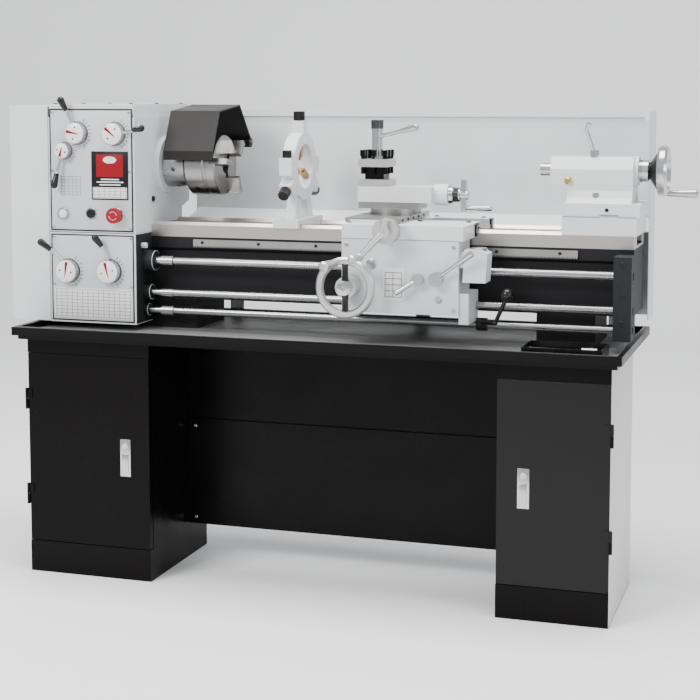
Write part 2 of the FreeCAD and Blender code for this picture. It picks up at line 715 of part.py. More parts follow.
def jaw_slot(name, gap):
    return block(name, "chuck_face - jaw_depth", "chuck_face + 1", f"axis_y - jaw_width / 2 - {gap}",
                 f"axis_y + jaw_width / 2 + {gap}", "axis_z + 20", "axis_z + 90")


def chuck():
    points = [
        (22, 0), ("chuck_radius - 2", 0), ("chuck_radius", 2), ("chuck_radius", 50), ("chuck_radius - 2", 52),
        ("chuck_radius - 2", 58), ("chuck_radius", 60), ("chuck_radius", 83), ("chuck_radius - 3", 86), (22, 86),
    ]
    body = turned("chuck_turned", "+x", "chuck_back", "axis_y", "axis_z", points)
    slots = [about_spindle(jaw_slot(f"jaw_slot_{index}", 0.4), angle)
             for index, angle in enumerate(JAW_ANGLES)]
    keys = []
    for index, angle in enumerate(JAW_ANGLES):
        key = rod(f"chuck_key_{index}", "+z", -412, "axis_y", "axis_z + 62", 8, 30)
        keys.append(about_spindle(key, angle + 60))
    return cut("chuck_cut", body, *slots, *keys)


node(chuck(), "chuck_body")


def jaw(index, angle):
    """A stepped jaw: its foot slides in the slot of the chuck and three steps stand in front of the face."""
    front = "axis_y - jaw_width / 2"
    back = "axis_y + jaw_width / 2"
    pieces = [block(f"jaw_{index}_foot", "chuck_face - jaw_depth + 0.4", "chuck_face + 12", front, back,
                    "axis_z + 34", "axis_z + 78")]
    for step, (low, reach) in enumerate(((34, 34), (49, 26), (63, 18))):
        pieces.append(block(f"jaw_{index}_step_{step}", "chuck_face + 1", f"chuck_face + {reach}", front, back,
                            f"axis_z + {low}", "axis_z + 78"))
    return about_spindle(fuse(f"jaw_{index}", *pieces), angle)


for index, angle in enumerate(JAW_ANGLES, start=1):
    node(jaw(index, angle), f"chuck_jaw_{index}")


def guard_pivot():
    """The rod the chuck guard swings on, held in the boss behind the headstock."""
    return rod("pivot_rod", "+x", "head_right - 19.5", 235, 1115, 6, 202)


node(guard_pivot(), "guard_pivot")


def chuck_guard():
    """A folded sheet that hangs in front of the chuck from a sleeve on the pivot behind it."""
    folds = [(-38, 1076), (-38, 1100), (12, 1204), (155, 1220), (236, 1128)]
    inner = [(234, 1124), (154, 1216), (14, 1201), (-35, 1099), (-35, 1076)]
    sheet_metal = extruded("guard_sheet", "YZ_Plane", folds + inner, 140, -490, 0, 0)
    sleeve = rod("guard_sleeve", "+x", -490, 235, 1115, 13, 140)
    bore = rod("guard_bore", "+x", -491, 235, 1115, "6 + fit_gap", 142)
    return cut("guard_body", fuse("guard_whole", sheet_metal, sleeve), bore)


node(chuck_guard(), "chuck_guard")

# ---------------------------------------------------------------- feed rods and their end bracket


def long_rod(name, z, radius, sleeve):
    run = difference("rod_right", "rod_left")
    shaft = rod(f"{name}_bar", "+x", "rod_left", "rod_y", z, radius, run)
    collar = rod(f"{name}_sleeve", "+x", -480, "rod_y", z, sleeve, 34)
    return fuse(f"{name}_body", shaft, collar)


node(long_rod("screw", "screw_z", "screw_radius", 13.5), "leadscrew")
node(long_rod("feed", "feed_z", "feed_radius", 11.5), "feed_rod")


def rod_end_bracket():
    body = block("bracket_body", "bracket_left", "bracket_right", "rod_y - 35", "bed_front",
                 "bracket_low", "bracket_high")
    holes = [rod(f"bracket_hole_{name}", "+x", "bracket_left - 1", "rod_y", z, f"{radius} + fit_gap", 60)
             for name, z, radius in (("screw", "screw_z", "screw_radius"), ("feed", "feed_z", "feed_radius"),
                                     ("switch", "switch_z", "switch_radius"))]
    return cut("bracket_cut", body, *holes)


node(rod_end_bracket(), "rod_end_bracket")

# ---------------------------------------------------------------- carriage


def saddle():
    """The saddle: a front wing over the apron and a bridge on the ways, grooved for the vees."""
    bed_back = "axis_y * 2 - bed_front"
    seat = "bed_top + slide_gap"
    section = [
        ("saddle_front", "saddle_low"), ("bed_front - 1", "saddle_low"), ("bed_front - 1", seat),
        (-29, seat), (-20, "bed_top + 9"), (-11, seat), (131, seat), (140, "bed_top + 9"), (149, seat),
        (f"{bed_back} + 1", seat), (f"{bed_back} + 1", 880), ("saddle_back", 880),
        ("saddle_back", "saddle_top"), ("saddle_front", "saddle_top"),
    ]
    bridge = extruded("saddle_bridge", "YZ_Plane", section, difference("saddle_right", "saddle_left"),
                      "saddle_left", 0, 0)
    notch_right = block("saddle_notch_right", "cross_right + 30", "saddle_right + 1", 16, 104, 900, 940)
    channel = block("screw_channel", "cross_screw_x - 10", "cross_screw_x + 10", -140, "saddle_back - 12",
                    "bed_top + 8.6", "saddle_top + 1")
    bearing = rod("cross_bearing", "+y", "cross_screw_x", -190, "cross_screw_z",
                  "cross_screw_radius + fit_gap", 60)
    boss = rod("cross_boss", "+y", "cross_screw_x", -189, "cross_screw_z", 16, 25)
    dovetail = [("cross_left + 20", "saddle_top - 1"), ("cross_left + 10", "cross_low + 8"),
                ("cross_screw_x - 16", "cross_low + 8"), ("cross_screw_x - 26", "saddle_top - 1")]
    rail = place(doc.addObject("PartDesign::Body", "saddle_rail"), 0, 0, 0)
    profile = outline(rail, "saddle_rail_profile", "XZ_Plane", dovetail)
    pad = rail.newObject("PartDesign::Pad", "saddle_rail_pad")
    pad.Profile = profile
    pad.Length = 270
    rail.Placement.Base = Vector(0, 150, 0)
    whole = fuse("saddle_whole", bridge, boss, rail)
    return cut("saddle_body", whole, notch_right, channel, bearing)


node(saddle(), "saddle")


def apron():
    """A hollow box under the saddle's front wing; the rods run through clearance holes in its ends."""
    outer = block("apron_outer", "saddle_left", "apron_right", "saddle_front", "apron_back",
                  "apron_low", "saddle_low")
    room = block("apron_room", "saddle_left + apron_wall", "apron_right - apron_wall",
                 "saddle_front + apron_wall", "apron_back - apron_wall", "apron_low + apron_wall",
                 "saddle_low - apron_wall")
    plate = block("apron_plate", "apron_right", "apron_right + 24", "saddle_front + 6", "apron_back - 8",
                  693, 768)
    dial_box = extruded("thread_dial_box", "XZ_Plane", [
        ("apron_right + 10", 796), ("apron_right + 66", 796), ("apron_right + 70", 866),
        ("apron_right + 52", 875), ("apron_right + 14", 875)], 56, 0, -109, 0)
    dial_arm = block("thread_dial_arm", "apron_right", "apron_right + 15", "rod_y - 80", "rod_y - 45", 830, 868)
    tools = [room, rod("wheel_bearing", "-y", "wheel_x", "saddle_front + 30", "wheel_z", "9 + fit_gap", 60),
             rod("nut_bearing", "-y", 286, "saddle_front + 30", 803, "7 + fit_gap", 60),
             rod("select_bearing", "-y", 240, "saddle_front + 30", 800, "7 + fit_gap", 60)]
    for name, z, radius in (("screw", "screw_z", "screw_radius"), ("feed", "feed_z", "feed_radius"),
                            ("switch", "switch_z", "switch_radius")):
        gap = 0.05 if name == "switch" else 0.5
        start = "saddle_left - 1"
        tools.append(rod(f"apron_hole_{name}", "+x", start, "rod_y", z, f"{radius} + {gap}", 340))
    return cut("apron_body", fuse("apron_whole", outer, plate, dial_box, dial_arm), *tools)


node(apron(), "apron")


def control_rod():
    run = difference("rod_right", "rod_left")
    return fuse("switch_body", rod("switch_bar", "+x", "rod_left", "rod_y", "switch_z", "switch_radius - 0.5", run),
                rod("switch_sleeve", "+x", -480, "rod_y", "switch_z", 13, 34))


node(control_rod(), "control_rod")


def control_lever():
    """The starting lever: a boss round the control rod, a cranked arm and a ball grip."""
    boss = rod("control_boss", "+x", "apron_right + 26", "rod_y", "switch_z", 16, 26)
    arm = bar("control_arm", (378, -82, 690), (422, -128, 696), 6)
    stem = bar("control_stem", (422, -128, 696), (450, -138, 756), 5)
    grip = ball("control_grip", 453, -139, 767, 15)
    elbow = ball("control_elbow", 422, -128, 696, 6)
    bore = rod("control_bore", "+x", "apron_right + 20", "rod_y", "switch_z", "switch_radius", 40)
    return cut("control_body", fuse("control_whole", boss, arm, stem, grip, elbow), bore)


node(control_lever(), "control_lever")


def handwheel(name, axis, x, y, z, radius, rim, depth, hub, shaft, shaft_length, spokes):
    """A rim on spokes round a hub, with the shaft it turns on behind it."""
    ring = turned(f"{name}_rim", axis, x, y, z, [
        (f"{radius} - {rim} * 2", -3), (f"{radius} - {rim} * 2", 3), (f"{radius} - {rim} - 6", 8),
        (f"{radius} - {rim} + 5", 8), (radius, 3), (radius, -3), (f"{radius} - {rim} + 5", -8),
        (f"{radius} - {rim} - 6", -8)])
    pieces = [
        ring,
        rod(f"{name}_hub", axis, x, y, z, hub, depth),
        rod(f"{name}_shaft", {"-y": "+y", "+x": "-x"}[axis], x, y, z, shaft, shaft_length),
    ]
    reach = number(f"{radius}") - rim
    for index in range(spokes):
        angle = 2 * math.pi * index / spokes + math.pi / 2
        sweep = (math.cos(angle) * reach, math.sin(angle) * reach)
        if axis == "-y":
            end = (number(x) + sweep[0], number(y), number(z) + sweep[1])
        else:
            end = (number(x), number(y) + sweep[0], number(z) + sweep[1])
        pieces.append(bar(f"{name}_spoke_{index}", (number(x), number(y), number(z)), end, rim * 0.7))
    return pieces


def apron_handwheel():
    pieces = handwheel("wheel", "-y", "wheel_x", "wheel_y", "wheel_z", "wheel_radius", 9.5, 14, 18, 9, 70, 2)
    pieces.append(rod("wheel_collar", "+y", "wheel_x", "wheel_y", "wheel_z", 26, 48))
    root = Vector(number("wheel_x") - 23, number("wheel_y"), number("wheel_z") + 61)
    pieces += grip("wheel_grip", root, root + Vector(0, -98, 0), 8, 12)
    return fuse("apron_wheel_body", *pieces)


node(apron_handwheel(), "apron_handwheel")


def half_nut_lever():
    y = number("saddle_front") - 0.5
    return fuse("half_nut_body", rod("half_nut_shaft", "+y", 286, y, 803, 7, 30),
                rod("half_nut_hub", "-y", 286, y, 803, 17, 24),
                bar("half_nut_arm", (286, y - 14, 803), (350, y - 26, 849), 5),
                bar("half_nut_grip", (345, y - 25, 845), (380, y - 32, 870), 7, 8.5))


node(half_nut_lever(), "half_nut_lever")


def feed_select_lever():
    y = number("saddle_front") - 0.5
    return fuse("select_body", rod("select_shaft", "+y", 240, y, 800, 7, 30),
                rod("select_hub", "-y", 240, y, 800, 14, 22),
                *grip("select_arm", (240, y - 16, 800), (191, y - 24, 768), 5, 7))


node(feed_select_lever(), "feed_select_lever")


def cross_slide():
    """The cross slide: a plate grooved over the saddle's dovetail, with the nut for its screw below."""
    plate = block("cross_plate", "cross_left", "cross_right", "cross_front", "cross_back",
                  "cross_low", "cross_top")
    groove_profile = [("cross_left + 19.4", "cross_low - 1"), ("cross_left + 9.2", "cross_low + 8.5"),
                      ("cross_screw_x - 15.2", "cross_low + 8.5"), ("cross_screw_x - 25.4", "cross_low - 1")]
    groove = doc.addObject("PartDesign::Body", "cross_groove")
    profile = outline(groove, "cross_groove_profile", "XZ_Plane", groove_profile)
    pad = groove.newObject("PartDesign::Pad", "cross_groove_pad")
    pad.Profile = profile
    pad.Length = 300
    groove.Placement.Base = Vector(0, 170, 0)
    nut = block("cross_nut", "cross_screw_x - 9", "cross_screw_x + 9", 20, 60, "bed_top + 9", "cross_low + 2")
    bore = rod("cross_nut_bore", "+y", "cross_screw_x", 0, "cross_screw_z", "cross_screw_radius + 0.4", 80)
    return cut("cross_body", fuse("cross_whole", cut("cross_grooved", plate, groove), nut), bore)


node(cross_slide(), "cross_slide")


def cross_crank():
    """The cross feed screw with its dial, crank arm and turned handle."""
    x = number("cross_screw_x")
    z = number("cross_screw_z")
    pieces = [
        rod("cross_screw", "+y", x, -226, z, "cross_screw_radius", 340),
        rod("cross_dial", "-y", x, -190, z, 31, 34),
        rod("cross_hub", "-y", x, -222, z, 16, 18),
        bar("crank_upper", (x, -233, z), (x + 5, -233, z + 30), 11, 9),
        bar("crank_lower", (x, -233, z), (x - 58, -236, z - 62), 10, 7),
        ball("crank_lower_end", x - 58, -236, z - 62, 10.5),
    ]
    pieces += grip("crank_grip", (x - 58, -236, z - 62), (x - 58, -300, z - 62), 7, 10)
    return fuse("cross_crank_body", *pieces)


node(cross_crank(), "cross_crank")


def compound_base():
    ring = rod("swivel_ring", "+z", "swivel_x", "swivel_y", "swivel_low", "swivel_radius", 15)
    plate = block("compound_plate", "top_left", 196, "swivel_y - 40", "swivel_y + 40", "swivel_top", "top_low - 0.5")
    return fuse("compound_base_body", ring, plate)


node(compound_base(), "compound_base")


def compound_slide():
    body = block("top_body", "top_left", "top_right", "swivel_y - top_half", "swivel_y + top_half",
                 "top_low", "top_high")
    groove = block("top_groove", "top_left - 1", "top_right + 1", "swivel_y - 18", "swivel_y + 18",
                   "top_low - 1", "top_low + 5")
    bracket = rod("top_bracket", "+x", "top_right", "swivel_y", "top_screw_z", 27, 36)
    bore = rod("top_bore", "+x", "top_right - 90", "swivel_y", "top_screw_z", "6 + fit_gap", 150)
    return cut("compound_slide_body", fuse("top_whole", body, bracket), groove, bore)


node(compound_slide(), "compound_slide")


def compound_crank():
    x = number("top_right") + 36.5
    y = number("swivel_y")
    z = number("top_screw_z")
    pieces = [
        rod("top_screw", "+x", x - 100, y, z, 6, 110),
        rod("top_collar", "+x", x, y, z, 22, 11),
        rod("top_dial", "+x", x + 9, y, z, 17, 20),
        rod("top_hub", "+x", x + 27, y, z, 12, 22),
        block("top_bar", x + 32, x + 44, y - 10, y + 10, z - 42, z + 38),
    ]
    pieces += grip("top_handle", (x + 42, y, z - 33), (x + 106, y, z - 33), 5, 7)
    return fuse("compound_crank_body", *pieces)


node(compound_crank(), "compound_crank")


def tool_post():
    """A four-way square tool post with clamping screws in its top plate."""
    left = "post_x - post_half"
    right = "post_x + post_half"
    front = "post_y - post_half"
    back = "post_y + post_half"
    pieces = [
        block("post_bottom", left, right, front, back, "post_low", 1031),
        block("post_waist", f"{left} + 14", f"{right} - 14", f"{front} + 14", f"{back} - 14", 1031, 1063),
        block("post_top", left, right, front, back, 1063, 1083),
    ]
    for side, (dx, dy) in enumerate(((-1, 0), (1, 0), (0, -1), (0, 1))):
        for step in (-28, 0, 28):
            x = number("post_x") + dx * 31 + abs(dy) * step
            y = number("post_y") + dy * 31 + abs(dx) * step
            tag = f"post_screw_{side}_{step + 28}"
            pieces.append(rod(f"{tag}_shank", "+z", x, y, 1045, 4, 45))
            pieces.append(block(f"{tag}_head", x - 5, x + 5, y - 5, y + 5, 1090, 1106))
    bore = rod("post_bore", "+z", "post_x", "post_y", "post_low - 1", "9 + fit_gap", 80)
    return cut("post_body", fuse("post_whole", *pieces), bore)


node(tool_post(), "tool_post")


def tool_post_lever():
    x = number("post_x")
    y = number("post_y")
    return fuse("post_lever_body", rod("post_stud", "+z", x, y, "post_low + 0.5", 9, 80),
                rod("post_hub", "+z", x, y, 1083.5, 14, 75),
                rod("post_knob", "+z", x, y, 1157, 15, 25),
                bar("post_arm", (x, y, 1138), (x + 92, y - 20, 1160), 5.5),
                *grip("post_grip", (x + 70, y - 15.2, 1154.7), (x + 110, y - 23.9, 1164.3), 7, 9))


node(tool_post_lever(), "tool_post_lever")

# ---------------------------------------------------------------- tailstock


def tailstock():
    """The tailstock: a base grooved for the vees, a body with a flange, and the barrel bored for the quill."""
    seat = "bed_top + slide_gap"
    base_section = [(-31, seat), (-29, seat), (-20, "bed_top + 9"), (-11, seat), (131, seat),
                    (140, "bed_top + 9"), (149, seat), (151, seat), (151, "tail_seam"), (-31, "tail_seam")]
    base = extruded("tail_base", "YZ_Plane", base_section, difference("tail_base_right", "tail_base_left"),
                    "tail_base_left", 0, 0)
    foot = block("tail_foot", "tail_base_left + 2", "tail_base_right + 6", -27, 147, "tail_seam", 983)
    column_section = [(-12, 983), (132, 983), (118, 996), ("axis_y + tail_half - 1", 1012),
                      ("axis_y + tail_half - 1", 1030), ("axis_y - tail_half + 1", 1030),
                      ("axis_y - tail_half + 1", 1012), (2, 996)]
    column = extruded("tail_column", "YZ_Plane", column_section, difference("tail_right", 570), 570, 0, 0)
    shell = [
        ("axis_y - tail_half", 1028), ("axis_y + tail_half", 1028), ("axis_y + tail_half", 1064),
        ("axis_y + tail_half - 22", 1094), ("axis_y - tail_half + 22", 1094), ("axis_y - tail_half", 1064),
    ]
    barrel = extruded("tail_barrel", "YZ_Plane", shell, difference("tail_right", "tail_left"),
                      "tail_left", 0, 0)
    flange = rod("tail_flange", "+x", "tail_right", "axis_y", "axis_z", 36, 10)
    bore = rod("quill_bore", "+x", "tail_left - 1", "axis_y", "axis_z", "quill_radius + fit_gap", 192)
    screw_hole = rod("screw_bore", "+x", "tail_left", "axis_y", "axis_z", "8 + fit_gap", 220)
    whole = fuse("tail_whole", base, foot, column, barrel, flange)
    return cut("tail_body", whole, bore, screw_hole)


node(tailstock(), "tailstock")


def tailstock_quill():
    body = rod("quill_bar", "+x", "quill_tip", "axis_y", "axis_z", "quill_radius", 140)
    socket = cone("quill_socket", "+x", "quill_tip - 1", "axis_y", "axis_z", 9.2, 7.2, 72)
    relief = rod("quill_relief", "+x", "quill_tip + 60", "axis_y", "axis_z", 8.4, 90)
    return cut("quill_body", body, socket, relief)


node(tailstock_quill(), "tailstock_quill")


def tailstock_handwheel():
    """The quill screw with its dial and dished handwheel; a turned handle stands on the rim."""
    x = number("tail_right") + 10.5
    y = number("axis_y")
    z = number("axis_z")
    dish = [
        (8, 0), (27, 0), (27, 22), (20, 26), ("tail_wheel_radius - 16", 44), ("tail_wheel_radius - 4", 46),
        ("tail_wheel_radius", 52), ("tail_wheel_radius", 64), ("tail_wheel_radius - 4", 70),
        ("tail_wheel_radius - 14", 70), ("tail_wheel_radius - 18", 56), (22, 44), (18, 54), (8, 54),
    ]
    pieces = [
        turned("tail_dish", "+x", x, y, z, dish),
        rod("tail_screw", "+x", x - 95, y, z, 8, 150),
    ]
    pieces += grip("tail_handle", (x + 60, y, z - 54), (x + 137, y, z - 54), 7, 11)
    return fuse("tail_wheel_body", *pieces)


node(tailstock_handwheel(), "tailstock_handwheel")


def quill_lock_lever():
    return fuse("quill_lock_body", rod("quill_lock_hub", "+z", 630, "axis_y - 20", 1094.5, 11, 16),
                bar("quill_lock_arm", (630, 40, 1104), (612, 26, 1160), 4.5),
                bar("quill_lock_end", (612, 26, 1160), (620, 20, 1176), 5, 6),
                ball("quill_lock_joint", 612, 26, 1160, 5))


node(quill_lock_lever(), "quill_lock_lever")

# ---------------------------------------------------------------- steady rest

FINGERS = (("top", 90), ("front", 210), ("rear", 330))


def finger_hole(name, angle):
    gap = 0.4
    half = f"finger_side / 2 + {gap}"
    middle = "steady_left + steady_thick / 2"
    hole = block(name, f"{middle} - finger_side / 2 - {gap}", f"{middle} + {half}",
                 f"axis_y - finger_side / 2 - {gap}", f"axis_y + {half}", "axis_z + 40", "axis_z + 140")
    return about_spindle(hole, angle)


def finger_boss(name, angle):
    """The radial arm of the casting that guides one finger."""
    arm = block(name, "steady_left", "steady_left + steady_thick", "axis_y - 15", "axis_y + 15",
                "axis_z + ring_inner + 10", "axis_z + boss_reach")
    return about_spindle(arm, angle)


def steady_ring(name, low, high):
    """A slice of the ring between two levels."""
    outer = rod(f"{name}_outer", "+x", "steady_left", "axis_y", "axis_z", "ring_outer", "steady_thick")
    inner = rod(f"{name}_inner", "+x", "steady_left - 1", "axis_y", "axis_z", "ring_inner", "steady_thick + 2")
    band = doc.addObject("Part::Common", f"{name}_band")
    band.Base = cut(f"{name}_ring", outer, inner)
    band.Tool = block(f"{name}_keep", "steady_left - 5", "steady_left + steady_thick + 5",
                      "axis_y - 200", "axis_y + 200", low, high)
    return band


def steady_frame():
    seat = "bed_top"
    right = "steady_left + steady_thick"
    lower = steady_ring("steady_low", 900, "steady_split")
    base_section = [(-48, seat), (-29, seat), (-29, seat + " + 9"), (-11, seat + " + 9"), (-11, seat),
                    (131, seat), (131, seat + " + 9"), (149, seat + " + 9"), (149, seat), (150, seat),
                    (150, 926), (-48, 926)]
    foot = extruded("steady_foot", "YZ_Plane", base_section, "steady_thick + 34", "steady_left - 17", 0, 0)
    leg_section = [(-10, 926), (26, 926), (44, 996), (14, 1010)]
    far_section = [(94, 926), (130, 926), (106, 1010), (76, 996)]
    legs = [extruded("steady_leg_front", "YZ_Plane", leg_section, "steady_thick - 8", "steady_left + 4", 0, 0),
            extruded("steady_leg_back", "YZ_Plane", far_section, "steady_thick - 8", "steady_left + 4", 0, 0)]
    ears = [block("steady_ear_front", "steady_left", right, -46, -22, "steady_split - 30", "steady_split"),
            block("steady_ear_back", "steady_left", right, 142, 166, "steady_split - 30", "steady_split")]
    knuckles = [rod(f"steady_knuckle_{index}", "+x", left, 166, "steady_split", 7, 9)
                for index, left in enumerate(("steady_left", f"{right} - 9"))]
    pin = rod("steady_pin", "+x", "steady_left", 166, "steady_split", 3, "steady_thick")
    slot = rod("steady_slot", "+x", "steady_left + 9", 166, "steady_split", 7.5, "steady_thick - 18")
    bosses = [finger_boss(f"steady_boss_{name}", angle) for name, angle in FINGERS[1:]]
    holes = [finger_hole(f"steady_hole_{name}", angle) for name, angle in FINGERS[1:]]
    opening = rod("steady_window", "+x", "steady_left - 1", "axis_y", "axis_z", "ring_inner", 60)
    lower_half = cut("steady_low_half", fuse("steady_low_whole", lower, foot, *legs, *ears, *bosses, *knuckles),
                     opening, slot, *holes)
    return fuse("steady_frame_body", lower_half, pin)


node(steady_frame(), "steady_frame")


def steady_top():
    right = "steady_left + steady_thick"
    upper = steady_ring("steady_high", "steady_split + 0.5", 1200)
    ears = [block("steady_lug_front", "steady_left", right, -46, -22, "steady_split + 0.5", "steady_split + 14"),
            block("steady_lug_back", "steady_left", right, 142, 166, "steady_split + 0.5", "steady_split + 14")]
    knob = rod("steady_clamp", "+z", "steady_left + steady_thick / 2", -34, "steady_split + 14", 11, 20)
    opening = rod("steady_top_window", "+x", "steady_left - 1", "axis_y", "axis_z", "ring_inner", 60)
    hole = finger_hole("steady_hole_top", 90)
    boss = finger_boss("steady_boss_top", 90)
    knuckle = rod("steady_top_knuckle", "+x", "steady_left + 9.5", 166, "steady_split", 7, "steady_thick - 19")
    pin_way = rod("steady_pin_way", "+x", "steady_left - 1", 166, "steady_split", "3 + fit_gap", "steady_thick + 2")
    clear = [rod(f"steady_clear_{index}", "+x", left, 166, "steady_split", 7.5, 10.5)
             for index, left in enumerate(("steady_left - 1", f"{right} - 9.5"))]
    cap = cut("steady_cap", fuse("steady_top_whole", upper, boss, *ears, knob), opening, hole, *clear)
    return cut("steady_top_body", fuse("steady_top_joined", cap, knuckle), pin_way)


node(steady_top(), "steady_top")


def finger(name, angle):
    """A square finger with a tapered tip, and the knurled knob that draws it outwards."""
    middle = number("steady_left") + number("steady_thick") / 2
    half = number("finger_side") / 2
    z = number("axis_z")
    y = number("axis_y")
    pieces = [
        block(f"finger_{name}_bar", middle - half, middle + half, y - half, y + half, z + 24, z + 112),
        rod(f"finger_{name}_tip", "-z", middle, y, z + 26, 5, 10),
        rod(f"finger_{name}_stem", "+z", middle, y, z + 110, 5, 12),
        rod(f"finger_{name}_knob", "+z", middle, y, "axis_z + boss_reach + 1", 14, 24),
    ]
    return about_spindle(fuse(f"finger_{name}", *pieces), angle)


for name, angle in FINGERS:
    node(finger(name, angle), f"steady_finger_{name}")

# ---------------------------------------------------------------- splash guard and accessories


def splash_guard():
    """A back panel, a right wing, a lower deflector and the two straps that carry them on the tray."""
    right = 750
    back = block("splash_back", "head_right", right, 268, 270, 677, 1205)
    hem = block("splash_hem", "head_right", right, 262, 270, 1188, 1205)
    wing_profile = [(163, 677), (270, 677), (270, 1205), (128, 1205), (128, 1180), (163, 940)]
    wing = extruded("splash_wing", "YZ_Plane", wing_profile, 2, right, 0, 0)
    edge = [(128, 1180), (131, 1180), (131, 1205), (128, 1205)]
    lip = extruded("splash_lip", "YZ_Plane", edge, 12, right - 10, 0, 0)
    ledge_profile = [(268, 931), (178, 902), (178, 899.5), (268, 928.5)]
    ledge = extruded("splash_ledge", "YZ_Plane", ledge_profile, right + 520, -520, 0, 0)
    straps = []
    for index, x in enumerate((-420, 120, 640)):
        straps.append(block(f"strap_{index}", x, x + 40, 250, 253, 634, 690))
        straps.append(block(f"strap_{index}_step", x, x + 40, 250, 270, 687, 690))
    return fuse("splash_body", back, hem, wing, lip, ledge, *straps)


node(splash_guard(), "splash_guard")


def accessory_tray():
    outer = block("loose_outer", 505, 695, -222, -112, "tray_floor", 656)
    inner = block("loose_inner", 508, 692, -219, -115, "tray_floor + 3", 657)
    return cut("loose_body", outer, inner)


node(accessory_tray(), "accessory_tray")

# ---------------------------------------------------------------- export

doc.recompute()
for thing in doc.Objects:
    if "Invalid" in thing.State or "Error" in thing.State:
        raise RuntimeError(f"{thing.Name} did not recompute: {thing.State}")
    if hasattr(thing, "Shape") and thing.isDerivedFrom("Part::Feature"):
        if thing.Shape.isNull() or not thing.Shape.isValid():
            raise RuntimeError(f"{thing.Name} has no valid shape")
for thing in NODES:
    thing.Shape.exportStep(f"parts/{thing.Label}.step")
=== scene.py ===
import json
import math

import bmesh
import bpy
from mathutils import Matrix, Vector


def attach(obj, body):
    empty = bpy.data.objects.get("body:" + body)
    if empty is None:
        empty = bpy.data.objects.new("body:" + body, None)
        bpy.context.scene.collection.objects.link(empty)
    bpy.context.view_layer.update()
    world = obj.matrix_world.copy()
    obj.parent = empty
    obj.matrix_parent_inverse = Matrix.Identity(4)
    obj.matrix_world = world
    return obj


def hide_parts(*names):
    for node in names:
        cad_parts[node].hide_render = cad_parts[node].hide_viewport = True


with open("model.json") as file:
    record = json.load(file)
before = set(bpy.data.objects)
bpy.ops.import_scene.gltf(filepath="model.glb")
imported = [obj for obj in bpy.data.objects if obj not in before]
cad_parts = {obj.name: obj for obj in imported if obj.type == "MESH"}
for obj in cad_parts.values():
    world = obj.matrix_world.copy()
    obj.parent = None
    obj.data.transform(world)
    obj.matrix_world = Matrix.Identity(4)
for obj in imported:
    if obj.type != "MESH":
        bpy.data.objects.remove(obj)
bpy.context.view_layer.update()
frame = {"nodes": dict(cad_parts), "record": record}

MM = 0.001
RIGHT = Vector((1, 0, 0))
LEFT = Vector((-1, 0, 0))
FRONT = Vector((0, -1, 0))
BACK = Vector((0, 1, 0))
UP = Vector((0, 0, 1))

# Places in the CAD frame that several pieces share, in mm.
SPINDLE_Y = 60
SPINDLE_Z = 1060
HEAD_RIGHT = -528
ROD_Y = -75
# the three rods run side by side at one depth
LEADSCREW_Z = 814
FEED_ROD_Z = 731
CONTROL_ROD_Z = 684

# ---------------------------------------------------------------- materials


def new_material(name, color, roughness, metallic):
    """A principled material with its shader's plain values set; returns it with its tree and shader."""
    material = bpy.data.materials.new(name)
    material.use_nodes = True
    tree = material.node_tree
    shader = tree.nodes["Principled BSDF"]
    shader.inputs["Base Color"].default_value = (*color, 1)
    shader.inputs["Roughness"].default_value = roughness
    shader.inputs["Metallic"].default_value = metallic
    return material, tree, shader


def add_noise(tree, scale, detail=4.0, stretch=(1, 1, 1)):
    """A noise texture in the object's own coordinates."""
    coords = tree.nodes.new("ShaderNodeTexCoord")
    mapping = tree.nodes.new("ShaderNodeMapping")
    noise = tree.nodes.new("ShaderNodeTexNoise")
    mapping.inputs["Scale"].default_value = stretch
    noise.inputs["Scale"].default_value = scale
    noise.inputs["Detail"].default_value = detail
    tree.links.new(coords.outputs["Object"], mapping.inputs["Vector"])
    tree.links.new(mapping.outputs["Vector"], noise.inputs["Vector"])
    return noise


def add_bump(tree, shader, height, strength, distance):
    bump = tree.nodes.new("ShaderNodeBump")
    bump.inputs["Strength"].default_value = strength
    bump.inputs["Distance"].default_value = distance
    tree.links.new(height, bump.inputs["Height"])
    tree.links.new(bump.outputs["Normal"], shader.inputs["Normal"])


NOISE_LOW, NOISE_HIGH = 0.3, 0.7


def vary(tree, factor, socket, low, high):
    """Maps the range that a noise mostly keeps to onto another range and feeds it to a socket."""
    spread = tree.nodes.new("ShaderNodeMapRange")
    spread.inputs["From Min"].default_value = NOISE_LOW
    spread.inputs["From Max"].default_value = NOISE_HIGH
    spread.inputs["To Min"].default_value = low
    spread.inputs["To Max"].default_value = high
    tree.links.new(factor, spread.inputs["Value"])
    tree.links.new(spread.outputs["Result"], socket)


def mix_colors(tree, factor, a, b):
    mix = tree.nodes.new("ShaderNodeMix")
    mix.data_type = "RGBA"
    mix.inputs["A"].default_value = (*a, 1)
    mix.inputs["B"].default_value = (*b, 1)
    tree.links.new(factor, mix.inputs["Factor"])
    return mix.outputs["Result"]


def shade(color, share):
    return tuple(channel * share for channel in color)


def painted(name, color, roughness=0.42, grain=0.25, specular=0.5):
    """Sprayed enamel: a faint orange peel, slight cloudiness in colour and gloss."""
    material, tree, shader = new_material(name, color, roughness, 0.0)
    shader.inputs["Specular IOR Level"].default_value = specular
    cloud = add_noise(tree, 9.0)
    vary(tree, cloud.outputs["Fac"], shader.inputs["Roughness"], roughness - 0.06, roughness + 0.07)
    tree.links.new(mix_colors(tree, cloud.outputs["Fac"], shade(color, 0.93), shade(color, 1.05)),
                   shader.inputs["Base Color"])
    peel = add_noise(tree, 420.0, 2.0)
    add_bump(tree, shader, peel.outputs["Fac"], grain, 0.0004)
    return material


